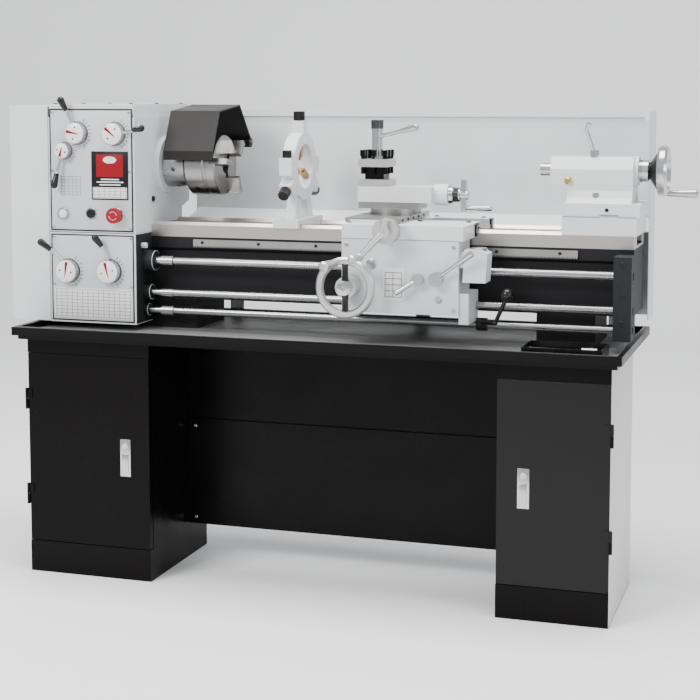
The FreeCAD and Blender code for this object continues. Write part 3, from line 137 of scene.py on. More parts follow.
def machined(name, color, roughness=0.3, stretch=(1, 1, 1), metallic=1.0):
    """Machined metal: fine tool marks along one direction, uneven polish."""
    material, tree, shader = new_material(name, color, roughness, metallic)
    marks = add_noise(tree, 260.0, 3.0, stretch)
    cloud = add_noise(tree, 14.0)
    vary(tree, cloud.outputs["Fac"], shader.inputs["Roughness"], roughness - 0.04, roughness + 0.06)
    tree.links.new(mix_colors(tree, cloud.outputs["Fac"], shade(color, 0.86), color),
                   shader.inputs["Base Color"])
    add_bump(tree, shader, marks.outputs["Fac"], 0.05, 0.00015)
    return material


def cast(name, color, roughness=0.62):
    """Painted rough casting."""
    material, tree, shader = new_material(name, color, roughness, 0.0)
    shader.inputs["Specular IOR Level"].default_value = 0.25
    sand = add_noise(tree, 160.0, 6.0)
    vary(tree, sand.outputs["Fac"], shader.inputs["Roughness"], roughness - 0.1, roughness + 0.1)
    add_bump(tree, shader, sand.outputs["Fac"], 0.35, 0.0012)
    return material


GROUND_ABOVE = 0.8745


def bed_finish():
    """Dark casting below, ground steel on the ways and on the band under them."""
    material, tree, shader = new_material("bed_finish", (0.03, 0.03, 0.032), 0.55, 0.0)
    coords = tree.nodes.new("ShaderNodeTexCoord")
    split = tree.nodes.new("ShaderNodeSeparateXYZ")
    above = tree.nodes.new("ShaderNodeMath")
    above.operation = "GREATER_THAN"
    above.inputs[1].default_value = GROUND_ABOVE
    tree.links.new(coords.outputs["Object"], split.inputs["Vector"])
    tree.links.new(split.outputs["Z"], above.inputs[0])
    ground = above.outputs["Value"]
    tree.links.new(mix_colors(tree, ground, (0.006, 0.006, 0.007), (0.50, 0.47, 0.44)),
                   shader.inputs["Base Color"])
    shader.inputs["Specular IOR Level"].default_value = 0.25
    tree.links.new(ground, shader.inputs["Metallic"])
    rough = tree.nodes.new("ShaderNodeMapRange")
    rough.inputs["To Min"].default_value = 0.6
    rough.inputs["To Max"].default_value = 0.34
    tree.links.new(ground, rough.inputs["Value"])
    tree.links.new(rough.outputs["Result"], shader.inputs["Roughness"])
    sand = add_noise(tree, 150.0, 5.0, (1, 1, 0.4))
    add_bump(tree, shader, sand.outputs["Fac"], 0.22, 0.0008)
    return material


def banded(name, dark, light, bands):
    """Steel with blackened bands, each given by its middle height and its reach either way, in metres."""
    material, tree, shader = new_material(name, light, 0.32, 1.0)
    coords = tree.nodes.new("ShaderNodeTexCoord")
    split = tree.nodes.new("ShaderNodeSeparateXYZ")
    tree.links.new(coords.outputs["Object"], split.inputs["Vector"])
    total = None
    for middle, reach in bands:
        inside = tree.nodes.new("ShaderNodeMath")
        inside.operation = "COMPARE"
        inside.inputs[1].default_value = middle
        inside.inputs[2].default_value = reach
        tree.links.new(split.outputs["Z"], inside.inputs[0])
        if total is None:
            total = inside.outputs["Value"]
            continue
        both = tree.nodes.new("ShaderNodeMath")
        both.operation = "MAXIMUM"
        tree.links.new(total, both.inputs[0])
        tree.links.new(inside.outputs["Value"], both.inputs[1])
        total = both.outputs["Value"]
    tree.links.new(mix_colors(tree, total, light, dark), shader.inputs["Base Color"])
    marks = add_noise(tree, 240.0, 3.0)
    add_bump(tree, shader, marks.outputs["Fac"], 0.12, 0.0003)
    return material


def glazed(name, color, roughness):
    material, tree, shader = new_material(name, color, roughness, 0.0)
    shader.inputs["Specular IOR Level"].default_value = 0.4
    cloud = add_noise(tree, 30.0)
    vary(tree, cloud.outputs["Fac"], shader.inputs["Roughness"], roughness - 0.03, roughness + 0.05)
    return material


# the tool post's waist and its clamping screws
POST_BANDS = ((1.047, 0.0158), (1.095, 0.0118))

MATERIALS = {
    "paint_white": painted("paint_white", (0.66, 0.67, 0.68)),
    "paint_panel": painted("paint_panel", (0.52, 0.53, 0.54), 0.38),
    "apron_paint": painted("apron_paint", (0.61, 0.625, 0.635)),
    "cabinet_black": painted("cabinet_black", (0.0025, 0.0019, 0.0016), 0.3, 0.15, 0.09),
    "cabinet_grey": painted("cabinet_grey", (0.006, 0.006, 0.0058), 0.34, 0.2, 0.2),
    # painted reflection: a light grey that stands in for the white backdrop mirrored in the right cabinet's
    # glossy black side
    "side_reflection_grey": painted("side_reflection_grey", (0.60, 0.60, 0.585), 0.45),
    "sheet_black": painted("sheet_black", (0.0025, 0.0022, 0.002), 0.34, 0.15, 0.14),
    # painted reflection: a grey that stands in for light reflected off the black tray floor
    "tray_reflection_grey": machined("tray_reflection_grey", (0.20, 0.20, 0.20), 0.42, (1, 1, 1), 0.3),
    "casting_dark": cast("casting_dark", (0.010, 0.011, 0.0115)),
    "steel": machined("steel", (0.36, 0.355, 0.34), 0.34),
    "bright_steel": machined("bright_steel", (0.56, 0.56, 0.56), 0.2),
    "chuck_steel": machined("chuck_steel", (0.30, 0.295, 0.285), 0.27),
    "turned_steel": machined("turned_steel", (0.40, 0.40, 0.40), 0.26, (8, 1, 1)),
    "black_steel": machined("black_steel", (0.018, 0.018, 0.019), 0.4, (1, 1, 1), 0.6),
    "guard_grey": painted("guard_grey", (0.014, 0.0128, 0.012), 0.4, 0.25, 0.22),
    "red_plastic": glazed("red_plastic", (0.27, 0.0008, 0.008), 0.32),
    "black_plastic": glazed("black_plastic", (0.0035, 0.0035, 0.0035), 0.28),
    "white_plastic": glazed("white_plastic", (0.78, 0.78, 0.76), 0.3),
    "belt_rubber": cast("belt_rubber", (0.012, 0.012, 0.012), 0.7),
    "bronze": machined("bronze", (0.42, 0.25, 0.10), 0.34),
    "brass": machined("brass", (0.62, 0.45, 0.18), 0.28),
    "bed_finish": bed_finish(),
    "plate_dark": painted("plate_dark", (0.005, 0.005, 0.007), 0.35, 0.1, 0.25),
    "plate_white": painted("plate_white", (0.74, 0.74, 0.73), 0.4),
    "ink_black": painted("ink_black", (0.004, 0.004, 0.004), 0.5, 0.1, 0.2),
    "ink_grey": painted("ink_grey", (0.10, 0.10, 0.105), 0.5, 0.1, 0.2),
    "ink_red": painted("ink_red", (0.24, 0.0008, 0.008), 0.45, 0.1, 0.2),
    "aluminium": machined("aluminium", (0.62, 0.62, 0.61), 0.38),
    "post_steel": banded("post_steel", (0.012, 0.012, 0.012), (0.58, 0.57, 0.55), POST_BANDS),
}

NODE_MATERIALS = {
    "bed": "bed_finish", "headstock": "paint_white", "feed_gearbox": "paint_white", "apron": "apron_paint",
    "chip_tray": "sheet_black", "right_door": "cabinet_grey", "leadscrew": "turned_steel",
    "feed_rod": "turned_steel", "control_rod": "turned_steel", "tool_post": "post_steel",
    "compound_slide": "paint_white", "apron_handwheel": "aluminium", "cross_crank": "aluminium",
    "compound_base": "steel", "spindle": "turned_steel", "chuck_body": "chuck_steel",
    "chuck_jaw_1": "chuck_steel", "chuck_jaw_2": "chuck_steel", "chuck_jaw_3": "chuck_steel",
}
SLOT_OF_NODE = {entry["node"]: entry["material_slot"] for entry in frame["record"]["subparts"]}


def finish_nodes():
    """Gives every CAD node its material and softened edges."""
    for node, obj in frame["nodes"].items():
        material = MATERIALS[NODE_MATERIALS.get(node, SLOT_OF_NODE[node])]
        for slot in obj.material_slots:
            slot.material = material
        soften = obj.modifiers.new("edges", "BEVEL")
        soften.width = 0.0009
        soften.segments = 2
        soften.limit_method = "ANGLE"
        soften.angle_limit = math.radians(38)
        soften.harden_normals = False


finish_nodes()

# ---------------------------------------------------------------- mesh helpers


def basis(axis):
    """A rotation that carries +Z onto the axis."""
    return UP.rotation_difference(Vector(axis).normalized()).to_matrix().to_4x4()


def add_turned(mesh, centre, axis, profile, steps=32):
    """Adds a turned shape from (radius, height) points in mm. It closes where the radius is 0."""
    turn = Matrix.Translation(Vector(centre)) @ basis(axis)
    rings = []
    for radius, height in profile:
        if radius < 0.001:
            rings.append([mesh.verts.new(turn @ Vector((0, 0, height)))])
            continue
        ring = []
        for step in range(steps):
            angle = 2 * math.pi * step / steps
            point = Vector((radius * math.cos(angle), radius * math.sin(angle), height))
            ring.append(mesh.verts.new(turn @ point))
        rings.append(ring)
    for low, high in zip(rings, rings[1:]):
        for step in range(steps):
            following = (step + 1) % steps
            if len(low) == 1:
                corners = (low[0], high[following], high[step])
            elif len(high) == 1:
                corners = (low[step], low[following], high[0])
            else:
                corners = (low[step], low[following], high[following], high[step])
            mesh.faces.new(corners)


def disc_profile(radius, height, edge=0.6):
    return [(0, 0), (radius, 0), (radius, height - edge), (radius - edge, height), (0, height)]


def ring_profile(inner, outer, height, edge=0.6):
    return [(inner, 0), (outer, 0), (outer, height - edge), (outer - edge, height), (inner, height),
            (inner, 0)]


def add_block(mesh, low, high, bevel=0.6):
    """Adds a box between two corners in mm with chamfered edges."""
    low = Vector(low)
    high = Vector(high)
    size = high - low
    made = bmesh.ops.create_cube(mesh, size=1.0)
    place = Matrix.Translation((low + high) / 2) @ Matrix.Diagonal((*size, 1))
    bmesh.ops.transform(mesh, matrix=place, verts=made["verts"])
    edges = dict.fromkeys(edge for vert in made["verts"] for edge in vert.link_edges)
    bmesh.ops.bevel(mesh, geom=list(edges), offset=min(bevel, min(size) * 0.4), segments=2, affect="EDGES",
                    profile=0.5)


def add_prism(mesh, outline, origin, axis, up, depth):
    """Adds a flat shape of some depth: outline points (u, v) lie across the axis, with v along up."""
    normal = Vector(axis).normalized()
    vertical = Vector(up).normalized()
    across = vertical.cross(normal)
    base = [Vector(origin) + across * u + vertical * v for u, v in outline]
    back = [mesh.verts.new(point) for point in base]
    front = [mesh.verts.new(point + normal * depth) for point in base]
    count = len(base)
    mesh.faces.new(back[::-1])
    mesh.faces.new(front)
    for index in range(count):
        following = (index + 1) % count
        mesh.faces.new((back[index], back[following], front[following], front[index]))


def make_piece(name, body, material, build):
    """Builds one visual piece in mm, converts it to metres, and lets it ride on its body."""
    mesh = bmesh.new()
    build(mesh)
    bmesh.ops.recalc_face_normals(mesh, faces=mesh.faces)
    bmesh.ops.scale(mesh, vec=(MM, MM, MM), verts=mesh.verts)
    data = bpy.data.meshes.new(name)
    mesh.to_mesh(data)
    mesh.free()
    obj = bpy.data.objects.new(name, data)
    bpy.context.scene.collection.objects.link(obj)
    data.materials.append(MATERIALS[material])
    data.shade_smooth()
    data.set_sharp_from_angle(angle=math.radians(35))
    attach(obj, body)
    return obj


def screw_head(mesh, centre, axis, radius=4.0, height=2.6):
    """A socket cap: a chamfered head with a dished centre."""
    profile = [(0, 0), (radius, 0), (radius, height - 0.6), (radius - 0.6, height), (radius * 0.5, height),
               (radius * 0.45, height * 0.35), (0, height * 0.35)]
    add_turned(mesh, centre, axis, profile, 16)


def screws(name, body, points, axis, radius=4.0, material="bright_steel"):
    def build(mesh):
        for point in points:
            screw_head(mesh, point, axis, radius)
    make_piece(name, body, material, build)


# ---------------------------------------------------------------- headstock panel

FACE_Y = -133.0
PANEL_LEFT, PANEL_RIGHT = -769, -534
HEAD_PANEL_LOW, HEAD_PANEL_HIGH = 893, 1208
GEARBOX_PANEL_LOW, GEARBOX_PANEL_HIGH = 656, 881
HEAD_PANEL_DEPTH = 1.6
GEARBOX_PANEL_DEPTH = 1.4


def headstock_panel(mesh):
    """A thin plate over the headstock's front."""
    add_block(mesh, (PANEL_LEFT, FACE_Y - HEAD_PANEL_DEPTH, HEAD_PANEL_LOW),
              (PANEL_RIGHT, FACE_Y, HEAD_PANEL_HIGH), 0.8)


def gearbox_panel(mesh):
    """A thin plate over the feed gearbox's front."""
    add_block(mesh, (PANEL_LEFT, FACE_Y - GEARBOX_PANEL_DEPTH, GEARBOX_PANEL_LOW),
              (PANEL_RIGHT, FACE_Y, GEARBOX_PANEL_HIGH), 0.7)


make_piece("headstock_panel", "frame", "paint_panel", headstock_panel)
make_piece("gearbox_panel", "frame", "paint_panel", gearbox_panel)


def add_frame(mesh, left, right, low, high, width, y):
    """A raised outline of a rectangle on the front face."""
    bars = (((left, low), (right, low + width)), ((left, high - width), (right, high)),
            ((left, low), (left + width, high)), ((right - width, low), (right, high)))
    for (x_start, z_start), (x_end, z_end) in bars:
        add_block(mesh, (x_start, y - 0.5, z_start), (x_end, y + 0.3, z_end), 0.2)


def add_rules(mesh, heights, columns, span, rise, faces, line):
    """A ruled grid: level lines over a span of x at some heights, and upright ones over a rise of z."""
    front, back = faces
    for z in heights:
        add_block(mesh, (span[0], front, z), (span[1], back, z + line), 0.2)
    for x in columns:
        add_block(mesh, (x, front, rise[0]), (x + line, back, rise[1]), 0.2)


def panel_outlines(mesh):
    """The black border round both panels, which stands a little outside them."""
    rim = 1.5
    left, right = PANEL_LEFT - rim, PANEL_RIGHT + rim
    add_frame(mesh, left, right, HEAD_PANEL_LOW - rim, HEAD_PANEL_HIGH + rim, 3.6, FACE_Y - HEAD_PANEL_DEPTH)
    add_frame(mesh, left, right, GEARBOX_PANEL_LOW - rim, GEARBOX_PANEL_HIGH + rim, 3.2,
              FACE_Y - GEARBOX_PANEL_DEPTH)


make_piece("panel_outlines", "frame", "ink_black", panel_outlines)


def panel_seam(mesh):
    """The dark lines under the top cover and between the headstock and the gearbox."""
    for low, high in ((1188.6, 1190.8), (886.6, 888.4)):
        add_block(mesh, (-774, FACE_Y - 0.4, low), (-529, FACE_Y + 2, high), 0.3)


make_piece("panel_seam", "frame", "ink_black", panel_seam)

PLATE_X = -597


def nameplate(mesh):
    add_block(mesh, (-650, FACE_Y - 3.0, 974), (-545, FACE_Y - 1.4, 1100), 0.5)


def nameplate_badge(mesh):
    """A plain red field across the plate's upper part, under a pale oval."""
    add_block(mesh, (-636, FACE_Y - 3.5, 1034), (-559, FACE_Y - 2.8, 1092), 0.3)


def nameplate_oval(mesh):
    """A pale empty oval on the red field."""
    half_width, half_height, steps = 19, 9, 40
    angles = [2 * math.pi * step / steps for step in range(steps)]
    outline = [(half_width * math.cos(angle), half_height * math.sin(angle)) for angle in angles]
    add_prism(mesh, outline, (PLATE_X, FACE_Y - 3.4, 1078), FRONT, UP, 0.5)


def nameplate_table(mesh):
    """A pale chart on the plate's lower part, and pale lines between it and the red field."""
    add_block(mesh, (-646, FACE_Y - 3.5, 978), (-549, FACE_Y - 2.8, 1007), 0.3)
    for row, half in enumerate((30, 38, 26)):
        z = 1012 + row * 7
        add_block(mesh, (PLATE_X - half, FACE_Y - 3.4, z), (PLATE_X + half, FACE_Y - 2.8, z + 3), 0.2)


def nameplate_rules(mesh):
    """The chart's ruled lines, with no lettering."""
    heights = [980 + row * 8 for row in range(4)]
    columns = [-644 + column * 15.3 for column in range(7)]
    add_rules(mesh, heights, columns, (-644, -551), (979, 1006), (FACE_Y - 3.9, FACE_Y - 3.3), 0.9)


make_piece("nameplate", "frame", "plate_dark", nameplate)
make_piece("nameplate_badge", "frame", "ink_red", nameplate_badge)
make_piece("nameplate_oval", "frame", "plate_white", nameplate_oval)
make_piece("nameplate_table", "frame", "plate_white", nameplate_table)
make_piece("nameplate_rules", "frame", "ink_grey", nameplate_rules)


def lever_table(mesh):
    """A small ruled chart beside the direction lever's grip."""
    heights = [985 + row * 8 for row in range(7)]
    columns = [-740 + column * 11.5 for column in range(6)]
    add_rules(mesh, heights, columns, (-740, -682), (985, 1034), (FACE_Y - 2.0, FACE_Y - 1.4), 0.7)


make_piece("lever_table", "frame", "ink_grey", lever_table)


def thread_table(mesh):
    """The pale chart across the gearbox panel."""
    add_block(mesh, (-764, FACE_Y - 2.4, 661), (-538, FACE_Y - 1.2, 741), 0.4)


def thread_rules(mesh):
    """The gearbox chart's ruled lines."""
    heights = [665 + row * 9 for row in range(9)]
    columns = [-758 + column * 15.3 for column in range(15)]
    add_rules(mesh, heights, columns, (-761, -541), (664, 738), (FACE_Y - 2.8, FACE_Y - 2.2), 0.9)


make_piece("thread_table", "frame", "plate_white", thread_table)
make_piece("thread_rules", "frame", "ink_grey", thread_rules)

PANEL_CORNERS = [(x, FACE_Y - HEAD_PANEL_DEPTH, z) for x in (-762, -541) for z in (900, 1048, 1201)]
GEARBOX_CORNERS = [(x, FACE_Y - GEARBOX_PANEL_DEPTH, z) for x in (-763, -540) for z in (750, 875)]
screws("panel_screws", "frame", PANEL_CORNERS + GEARBOX_CORNERS, FRONT, 3.6)
COVER_BOLTS = [(x, y, 1222) for x in (-760, -543) for y in (-118, 40, 198)]
screws("cover_bolts", "frame", COVER_BOLTS, UP, 5.5, "black_steel")

# lever node: (hub centre x, hub centre z, hub radius, pointer angle in degrees from +X towards +Z)
KNOBS = {
    "speed_lever_left": (-689, 1147, 28, 168),
    "speed_lever_right": (-582, 1146, 29, 140),
    "direction_lever": (-727, 1101, 21, 254),
    "feed_lever_left": (-720, 786, 30, 82),
    "feed_lever_right": (-600, 788, 30, 104),
}
HUB_FACE_Y = FACE_Y - 20.4
CAP_FACE_Y = FACE_Y - 23.0


def knob_face(name, x, z, radius):
    """A white cap on the hub with a sloped edge."""
    def build(mesh):
        profile = [(0, 0), (radius - 1.5, 0), (radius - 1.5, 1.4), (radius - 3.5, 2.6), (0, 2.9)]
        add_turned(mesh, (x, HUB_FACE_Y, z), FRONT, profile, 48)
    make_piece(f"{name}_face", name, "white_plastic", build)


def knob_pointer(name, x, z, radius, degrees):
    """A red wedge on the cap that points along the arm."""
    def build(mesh):
        angle = math.radians(degrees)
        up = (math.cos(angle), 0, math.sin(angle))
        reach = radius - 5
        add_prism(mesh, [(-0.7, -reach * 0.6), (0.7, -reach * 0.6), (4.2, reach), (-4.2, reach)],
                  (x, CAP_FACE_Y, z), FRONT, up, 0.8)
    make_piece(f"{name}_pointer", name, "ink_red", build)


def knob_screws(name, x, z, radius, degrees):
    """Two small countersunk screws either side of the pointer."""
    def build(mesh):
        for turn in (90, 270):
            angle = math.radians(degrees + turn)
            spot = (x + math.cos(angle) * radius * 0.55, FACE_Y - 22.6, z + math.sin(angle) * radius * 0.55)
            add_turned(mesh, spot, FRONT, [(0, 0), (2.4, 0), (2.4, 0.7), (1.2, 0.9), (0, 0.6)], 16)
    make_piece(f"{name}_face_screws", name, "ink_black", build)


def knob_skirt(name, x, z, radius):
    """A fixed dial ring on the panel round the hub, with index ticks."""
    def build(mesh):
        for step in range(9):
            angle = math.radians(-60 + step * 15)
            near, far = radius + 5, radius + (11 if step % 2 else 14)
            spoke = Vector((math.cos(angle), 0, math.sin(angle)))
            tick = [(-0.6, near), (0.6, near), (0.6, far), (-0.6, far)]
            add_prism(mesh, tick, (x, FACE_Y - 1.5, z), FRONT, spoke, 0.5)
        add_turned(mesh, (x, FACE_Y - 1.4, z), FRONT, ring_profile(radius + 0.6, radius + 2.2, 0.5, 0.1), 48)
    make_piece(f"{name}_dial", "frame", "ink_black", build)


for lever, (x, z, radius, degrees) in KNOBS.items():
    knob_face(lever, x, z, radius)
    knob_pointer(lever, x, z, radius, degrees)
    knob_screws(lever, x, z, radius, degrees)
    knob_skirt(lever, x, z, radius)

PILOT = (-733, FACE_Y - 1.5, 936)


def pilot_ring(mesh):
    add_turned(mesh, PILOT, FRONT, ring_profile(11, 16, 5), 36)


def pilot_lens(mesh):
    add_turned(mesh, PILOT, FRONT, [(0, 0), (11.5, 0), (11.5, 5), (9, 8), (0, 9.5)], 36)


def button_collars(mesh):
    """The bright collars round the jog button and the stop button."""
    add_turned(mesh, (-652, FACE_Y - 1.5, 938), FRONT, ring_profile(12.5, 15.5, 3), 36)
    add_turned(mesh, (-578, FACE_Y - 1.5, 935), FRONT, ring_profile(11, 19, 4), 36)


make_piece("pilot_ring", "frame", "bright_steel", pilot_ring)
make_piece("pilot_lens", "frame", "white_plastic", pilot_lens)
make_piece("button_collars", "frame", "bright_steel", button_collars)


def sight_glass(mesh):
    """The oil window's rim on the headstock's right side."""
    add_turned(mesh, (HEAD_RIGHT, -24, 972), RIGHT, [(0, 1), (5, 1), (5, 3), (8, 3), (8, 0)], 32)


make_piece("sight_glass", "frame", "black_plastic", sight_glass)


def gearbox_side(mesh):
    """The dark end plate of the gearbox, with sleeves over the rod bosses."""
    add_block(mesh, (HEAD_RIGHT, -131, 652), (HEAD_RIGHT + 1.4, -37, 885), 0.5)
    bosses = ((LEADSCREW_Z, 26, 31, 11.4), (FEED_ROD_Z, 20, 20, 9.9), (CONTROL_ROD_Z, 16, 12, 9.0))
    for z, radius, reach, bore in bosses:
        inner, outer = radius - 1, radius + 0.6
        profile = [(bore, reach - 1), (bore, reach + 0.8), (radius - 1.5, reach + 0.8), (outer, reach - 1.5),
                   (outer, 0.5), (inner, 0.5), (inner, reach - 1), (bore, reach - 1)]
        add_turned(mesh, (HEAD_RIGHT, ROD_Y, z), RIGHT, profile, 48)


make_piece("gearbox_side", "frame", "casting_dark", gearbox_side)

# lever node: (x and z where the grip starts, x and z where it ends), in mm
LEVER_GRIPS = {
    "speed_lever_left": ((-712, 1205), (-724, 1232)),
    "speed_lever_right": ((-523, 1156), (-497, 1161)),
    "direction_lever": ((-742, 1042), (-747, 1012)),
    "feed_lever_left": ((-763, 841), (-789, 861)),
    "feed_lever_right": ((-615, 854), (-631, 876)),
}
GRIP_START_Y, GRIP_END_Y = -151.5, -157.5


def add_grip(mesh, start, end, thin, thick):
    """A tapered sleeve with a domed end, over the last part of a lever."""
    along = Vector(end) - Vector(start)
    length = along.length
    profile = [(0, 0), (thin, 0), (thin + 0.6, 1), (thick, length)]
    dome_steps = 6
    for step in range(1, dome_steps + 1):
        angle = math.pi / 2 * step / dome_steps
        profile.append((thick * math.cos(angle), length + thick * math.sin(angle)))
    add_turned(mesh, start, along, profile, 28)


def lever_grip(name, start, end):
    """The black grip at a panel lever's end."""
    def build(mesh):
        (x_start, z_start), (x_end, z_end) = start, end
        add_grip(mesh, (x_start, GRIP_START_Y, z_start), (x_end, GRIP_END_Y, z_end), 5.6, 9.5)
    make_piece(f"{name}_grip", name, "black_plastic", build)


for lever, (start, end) in LEVER_GRIPS.items():
    lever_grip(lever, start, end)


def add_knurled(mesh, centre, axis, radius, height, teeth=36):
    """A knob with straight knurling round its side and chamfered ends."""
    turn = Matrix.Translation(Vector(centre)) @ basis(axis)
    levels = [(radius - 1.2, 0), (radius, 1.2), (radius, height - 1.2), (radius - 1.2, height)]
    rings = []
    for reach, level in levels:
        ring = []
        for step in range(teeth * 2):
            angle = math.pi * step / teeth
            size = reach - (0.7 if step % 2 else 0.0)
            point = Vector((size * math.cos(angle), size * math.sin(angle), level))
            ring.append(mesh.verts.new(turn @ point))
        rings.append(ring)
    for low, high in zip(rings, rings[1:]):
        for step in range(teeth * 2):
            after = (step + 1) % (teeth * 2)
            mesh.faces.new((low[step], low[after], high[after], high[step]))
    mesh.faces.new(rings[0][::-1])
    mesh.faces.new(rings[-1])


STEADY_X = -146
FINGER_ANGLES = {"steady_finger_top": 90, "steady_finger_front": 210, "steady_finger_rear": 330}
FINGER_KNOB_START = 119.2


def finger_knob(name, degrees):
    """The dark knurled knob over the end of a steady finger."""
    angle = math.radians(degrees)
    outward = Vector((0, math.cos(angle), math.sin(angle)))
    start = Vector((STEADY_X, SPINDLE_Y, SPINDLE_Z)) + outward * FINGER_KNOB_START

    def build(mesh):
        add_knurled(mesh, start, outward, 14.8, 24.2)
    make_piece(f"{name}_knob", name, "black_plastic", build)


for finger_node, degrees in FINGER_ANGLES.items():
    finger_knob(finger_node, degrees)


def clamp_knob(mesh):
    add_knurled(mesh, (STEADY_X, -34, 1084.4), UP, 11.8, 20.2, 24)


def post_knob(mesh):
    add_knurled(mesh, (73.5, 39, 1158.8), UP, 15.6, 23.6)


make_piece("steady_clamp_knob", "steady_top", "black_plastic", clamp_knob)
make_piece("tool_post_knob", "tool_post_lever", "black_plastic", post_knob)

# ---------------------------------------------------------------- stand details

DOOR_FRONT = -227.0
LOCKS = {"left_door": -518, "right_door": 515}


def door_lock(body, x):
    """A pressed plate with a pull and a key cylinder."""
    def build(mesh):
        add_block(mesh, (x - 14.5, DOOR_FRONT - 2.4, 271), (x + 14.5, DOOR_FRONT, 368), 1.0)
        add_block(mesh, (x - 9, DOOR_FRONT - 5.4, 283), (x + 9, DOOR_FRONT - 1.5, 330), 1.4)
        add_turned(mesh, (x, DOOR_FRONT - 2.2, 350), FRONT, disc_profile(8.5, 3.5), 32)
    make_piece(f"{body}_lock", body, "bright_steel", build)


for body, x in LOCKS.items():
    door_lock(body, x)


def cabinet_side(mesh):
    """A light grey sheet on the right side of the right cabinet: a painted reflection of the white backdrop
    on the cabinet's glossy black side.
    """
    add_block(mesh, (719, -226, 3), (719.8, 138, 618), 0.3)


# this light grey sheet is a painted reflection on the black cabinet side
make_piece("cabinet_side_painted_reflection", "frame", "side_reflection_grey", cabinet_side)


def tray_floor_painted_reflection(mesh):
    """A lighter grey sheet over the bottom of the black tray: a painted reflection of light on the tray
    floor.
    """
    add_block(mesh, (-804, -251, 632), (732, 235, 632.6), 0.2)


# this grey sheet is a painted reflection on the black tray floor
make_piece("tray_floor_painted_reflection", "frame", "tray_reflection_grey", tray_floor_painted_reflection)


def tray_edge(mesh):
    """A bright steel line along the inner lip of the tray's rim."""
    add_block(mesh, (-806, -253.5, 649.6), (734, -251.8, 650.6), 0.3)
    add_block(mesh, (733, -252, 649.6), (734.6, 236, 650.6), 0.3)


make_piece("tray_edge", "frame", "steel", tray_edge)

PANEL_SCREWS = [(x, 20, z) for x in (-430, 430) for z in (110, 360)]
screws("stand_panel_screws", "frame", PANEL_SCREWS, FRONT, 4.5)

# ---------------------------------------------------------------- bed and rods

RACK_SCREWS = [(x, -41, 861) for x in range(-380, 600, 157)]
screws("rack_screws", "frame", RACK_SCREWS, FRONT, 4.0, "black_steel")
BRACKET_BOLTS = [(723.5, -110, z) for z in (705, 770, 845)]
screws("bracket_bolts", "frame", BRACKET_BOLTS, FRONT, 6.5, "black_steel")

LEADSCREW_RADIUS = 10.95


def screw_thread(mesh):
    """A helical ridge along the leadscrew between its sleeve and the end bracket."""
    start, end, pitch, steps = -440.0, 700.0, 6.0, 16
    root, crest = 9.3, LEADSCREW_RADIUS
    ridge = ((root, -1.7), (crest, -1.0), (crest, 1.0), (root, 1.7))
    turns = int((end - start) / pitch)
    previous = None
    for index in range(turns * steps + 1):
        x = start + index * pitch / steps
        angle = 2 * math.pi * index / steps
        radial = Vector((0, math.cos(angle), math.sin(angle)))
        centre = Vector((x, ROD_Y, LEADSCREW_Z))
        section = [centre + radial * reach + RIGHT * shift for reach, shift in ridge]
        current = [mesh.verts.new(point) for point in section]
        if previous:
            for side in range(4):
                after = (side + 1) % 4
                mesh.faces.new((previous[side], previous[after], current[after], current[side]))
        else:
            mesh.faces.new(current[::-1])
        previous = current
    mesh.faces.new(previous)


def screw_core(mesh):
    """The leadscrew's core with its plain ends and the sleeve."""
    sleeve, threaded, length = 13.5, 9.4, 1295.9
    profile = [(0, 0), (LEADSCREW_RADIUS, 0), (LEADSCREW_RADIUS, 80), (sleeve, 80), (sleeve, 114),
               (threaded, 116), (threaded, 1258), (LEADSCREW_RADIUS, 1260), (LEADSCREW_RADIUS, length),
               (0, length)]
    add_turned(mesh, (-560, ROD_Y, LEADSCREW_Z), RIGHT, profile, 40)


core = make_piece("leadscrew_core", "leadscrew", "turned_steel", screw_core)
make_piece("leadscrew_thread", "leadscrew", "turned_steel", screw_thread)
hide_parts("leadscrew")

# ---------------------------------------------------------------- carriage details

APRON_Y = -165.0
WHEEL_X, WHEEL_Z = 69, 779


def apron_seam(mesh):
    """The dark joint between the apron and the saddle's front wing."""
    add_block(mesh, (45, APRON_Y - 0.3, 894.2), (338, APRON_Y + 1, 895.6), 0.2)


make_piece("apron_seam", "carriage", "ink_grey", apron_seam)


def wheel_spokes(mesh):
    """Black enamel sleeves on the handwheel's two spokes."""
    for sign in (-1, 1):
        profile = [(7.3, 16), (9.0, 18), (7.4, 30), (7.4, 50), (9.0, 57.5), (6, 57.5), (6, 16), (7.3, 16)]
        add_turned(mesh, (WHEEL_X, -215, WHEEL_Z), (0, 0, sign), profile, 24)


COMPOUND_Y, COMPOUND_SCREW_Z = 40, 994


def compound_dial(mesh):
    """The black knurled dial between the compound crank's collar and its hub."""
    add_knurled(mesh, (275.8, COMPOUND_Y, COMPOUND_SCREW_Z), RIGHT, 17.8, 15.5, 30)


ESTOP_FACE = (-578, -160.8, 935)


def estop_ring(mesh):
    """Two pale arcs of short marks on the emergency stop's cap."""
    mark = [(-2.2, 9.5), (2.2, 9.5), (2.2, 11.5), (-2.2, 11.5)]
    for start in (20, 200):
        for step in range(9):
            angle = math.radians(start + step * 14)
            spoke = Vector((math.cos(angle), 0, math.sin(angle)))
            add_prism(mesh, mark, ESTOP_FACE, FRONT, spoke, 0.5)


def wheel_boss(mesh):
    """The bright cap on the handwheel's hub."""
    profile = [(0, 0), (17, 0), (17, 2), (12, 3.5), (5, 3.5), (5, 1.5), (0, 1.5)]
    add_turned(mesh, (WHEEL_X, -229, WHEEL_Z), FRONT, profile, 32)


make_piece("estop_ring", "estop_button", "plate_white", estop_ring)
make_piece("compound_dial", "compound_crank", "black_plastic", compound_dial)
make_piece("wheel_spokes", "apron_handwheel", "black_plastic", wheel_spokes)
make_piece("wheel_boss", "apron_handwheel", "bright_steel", wheel_boss)


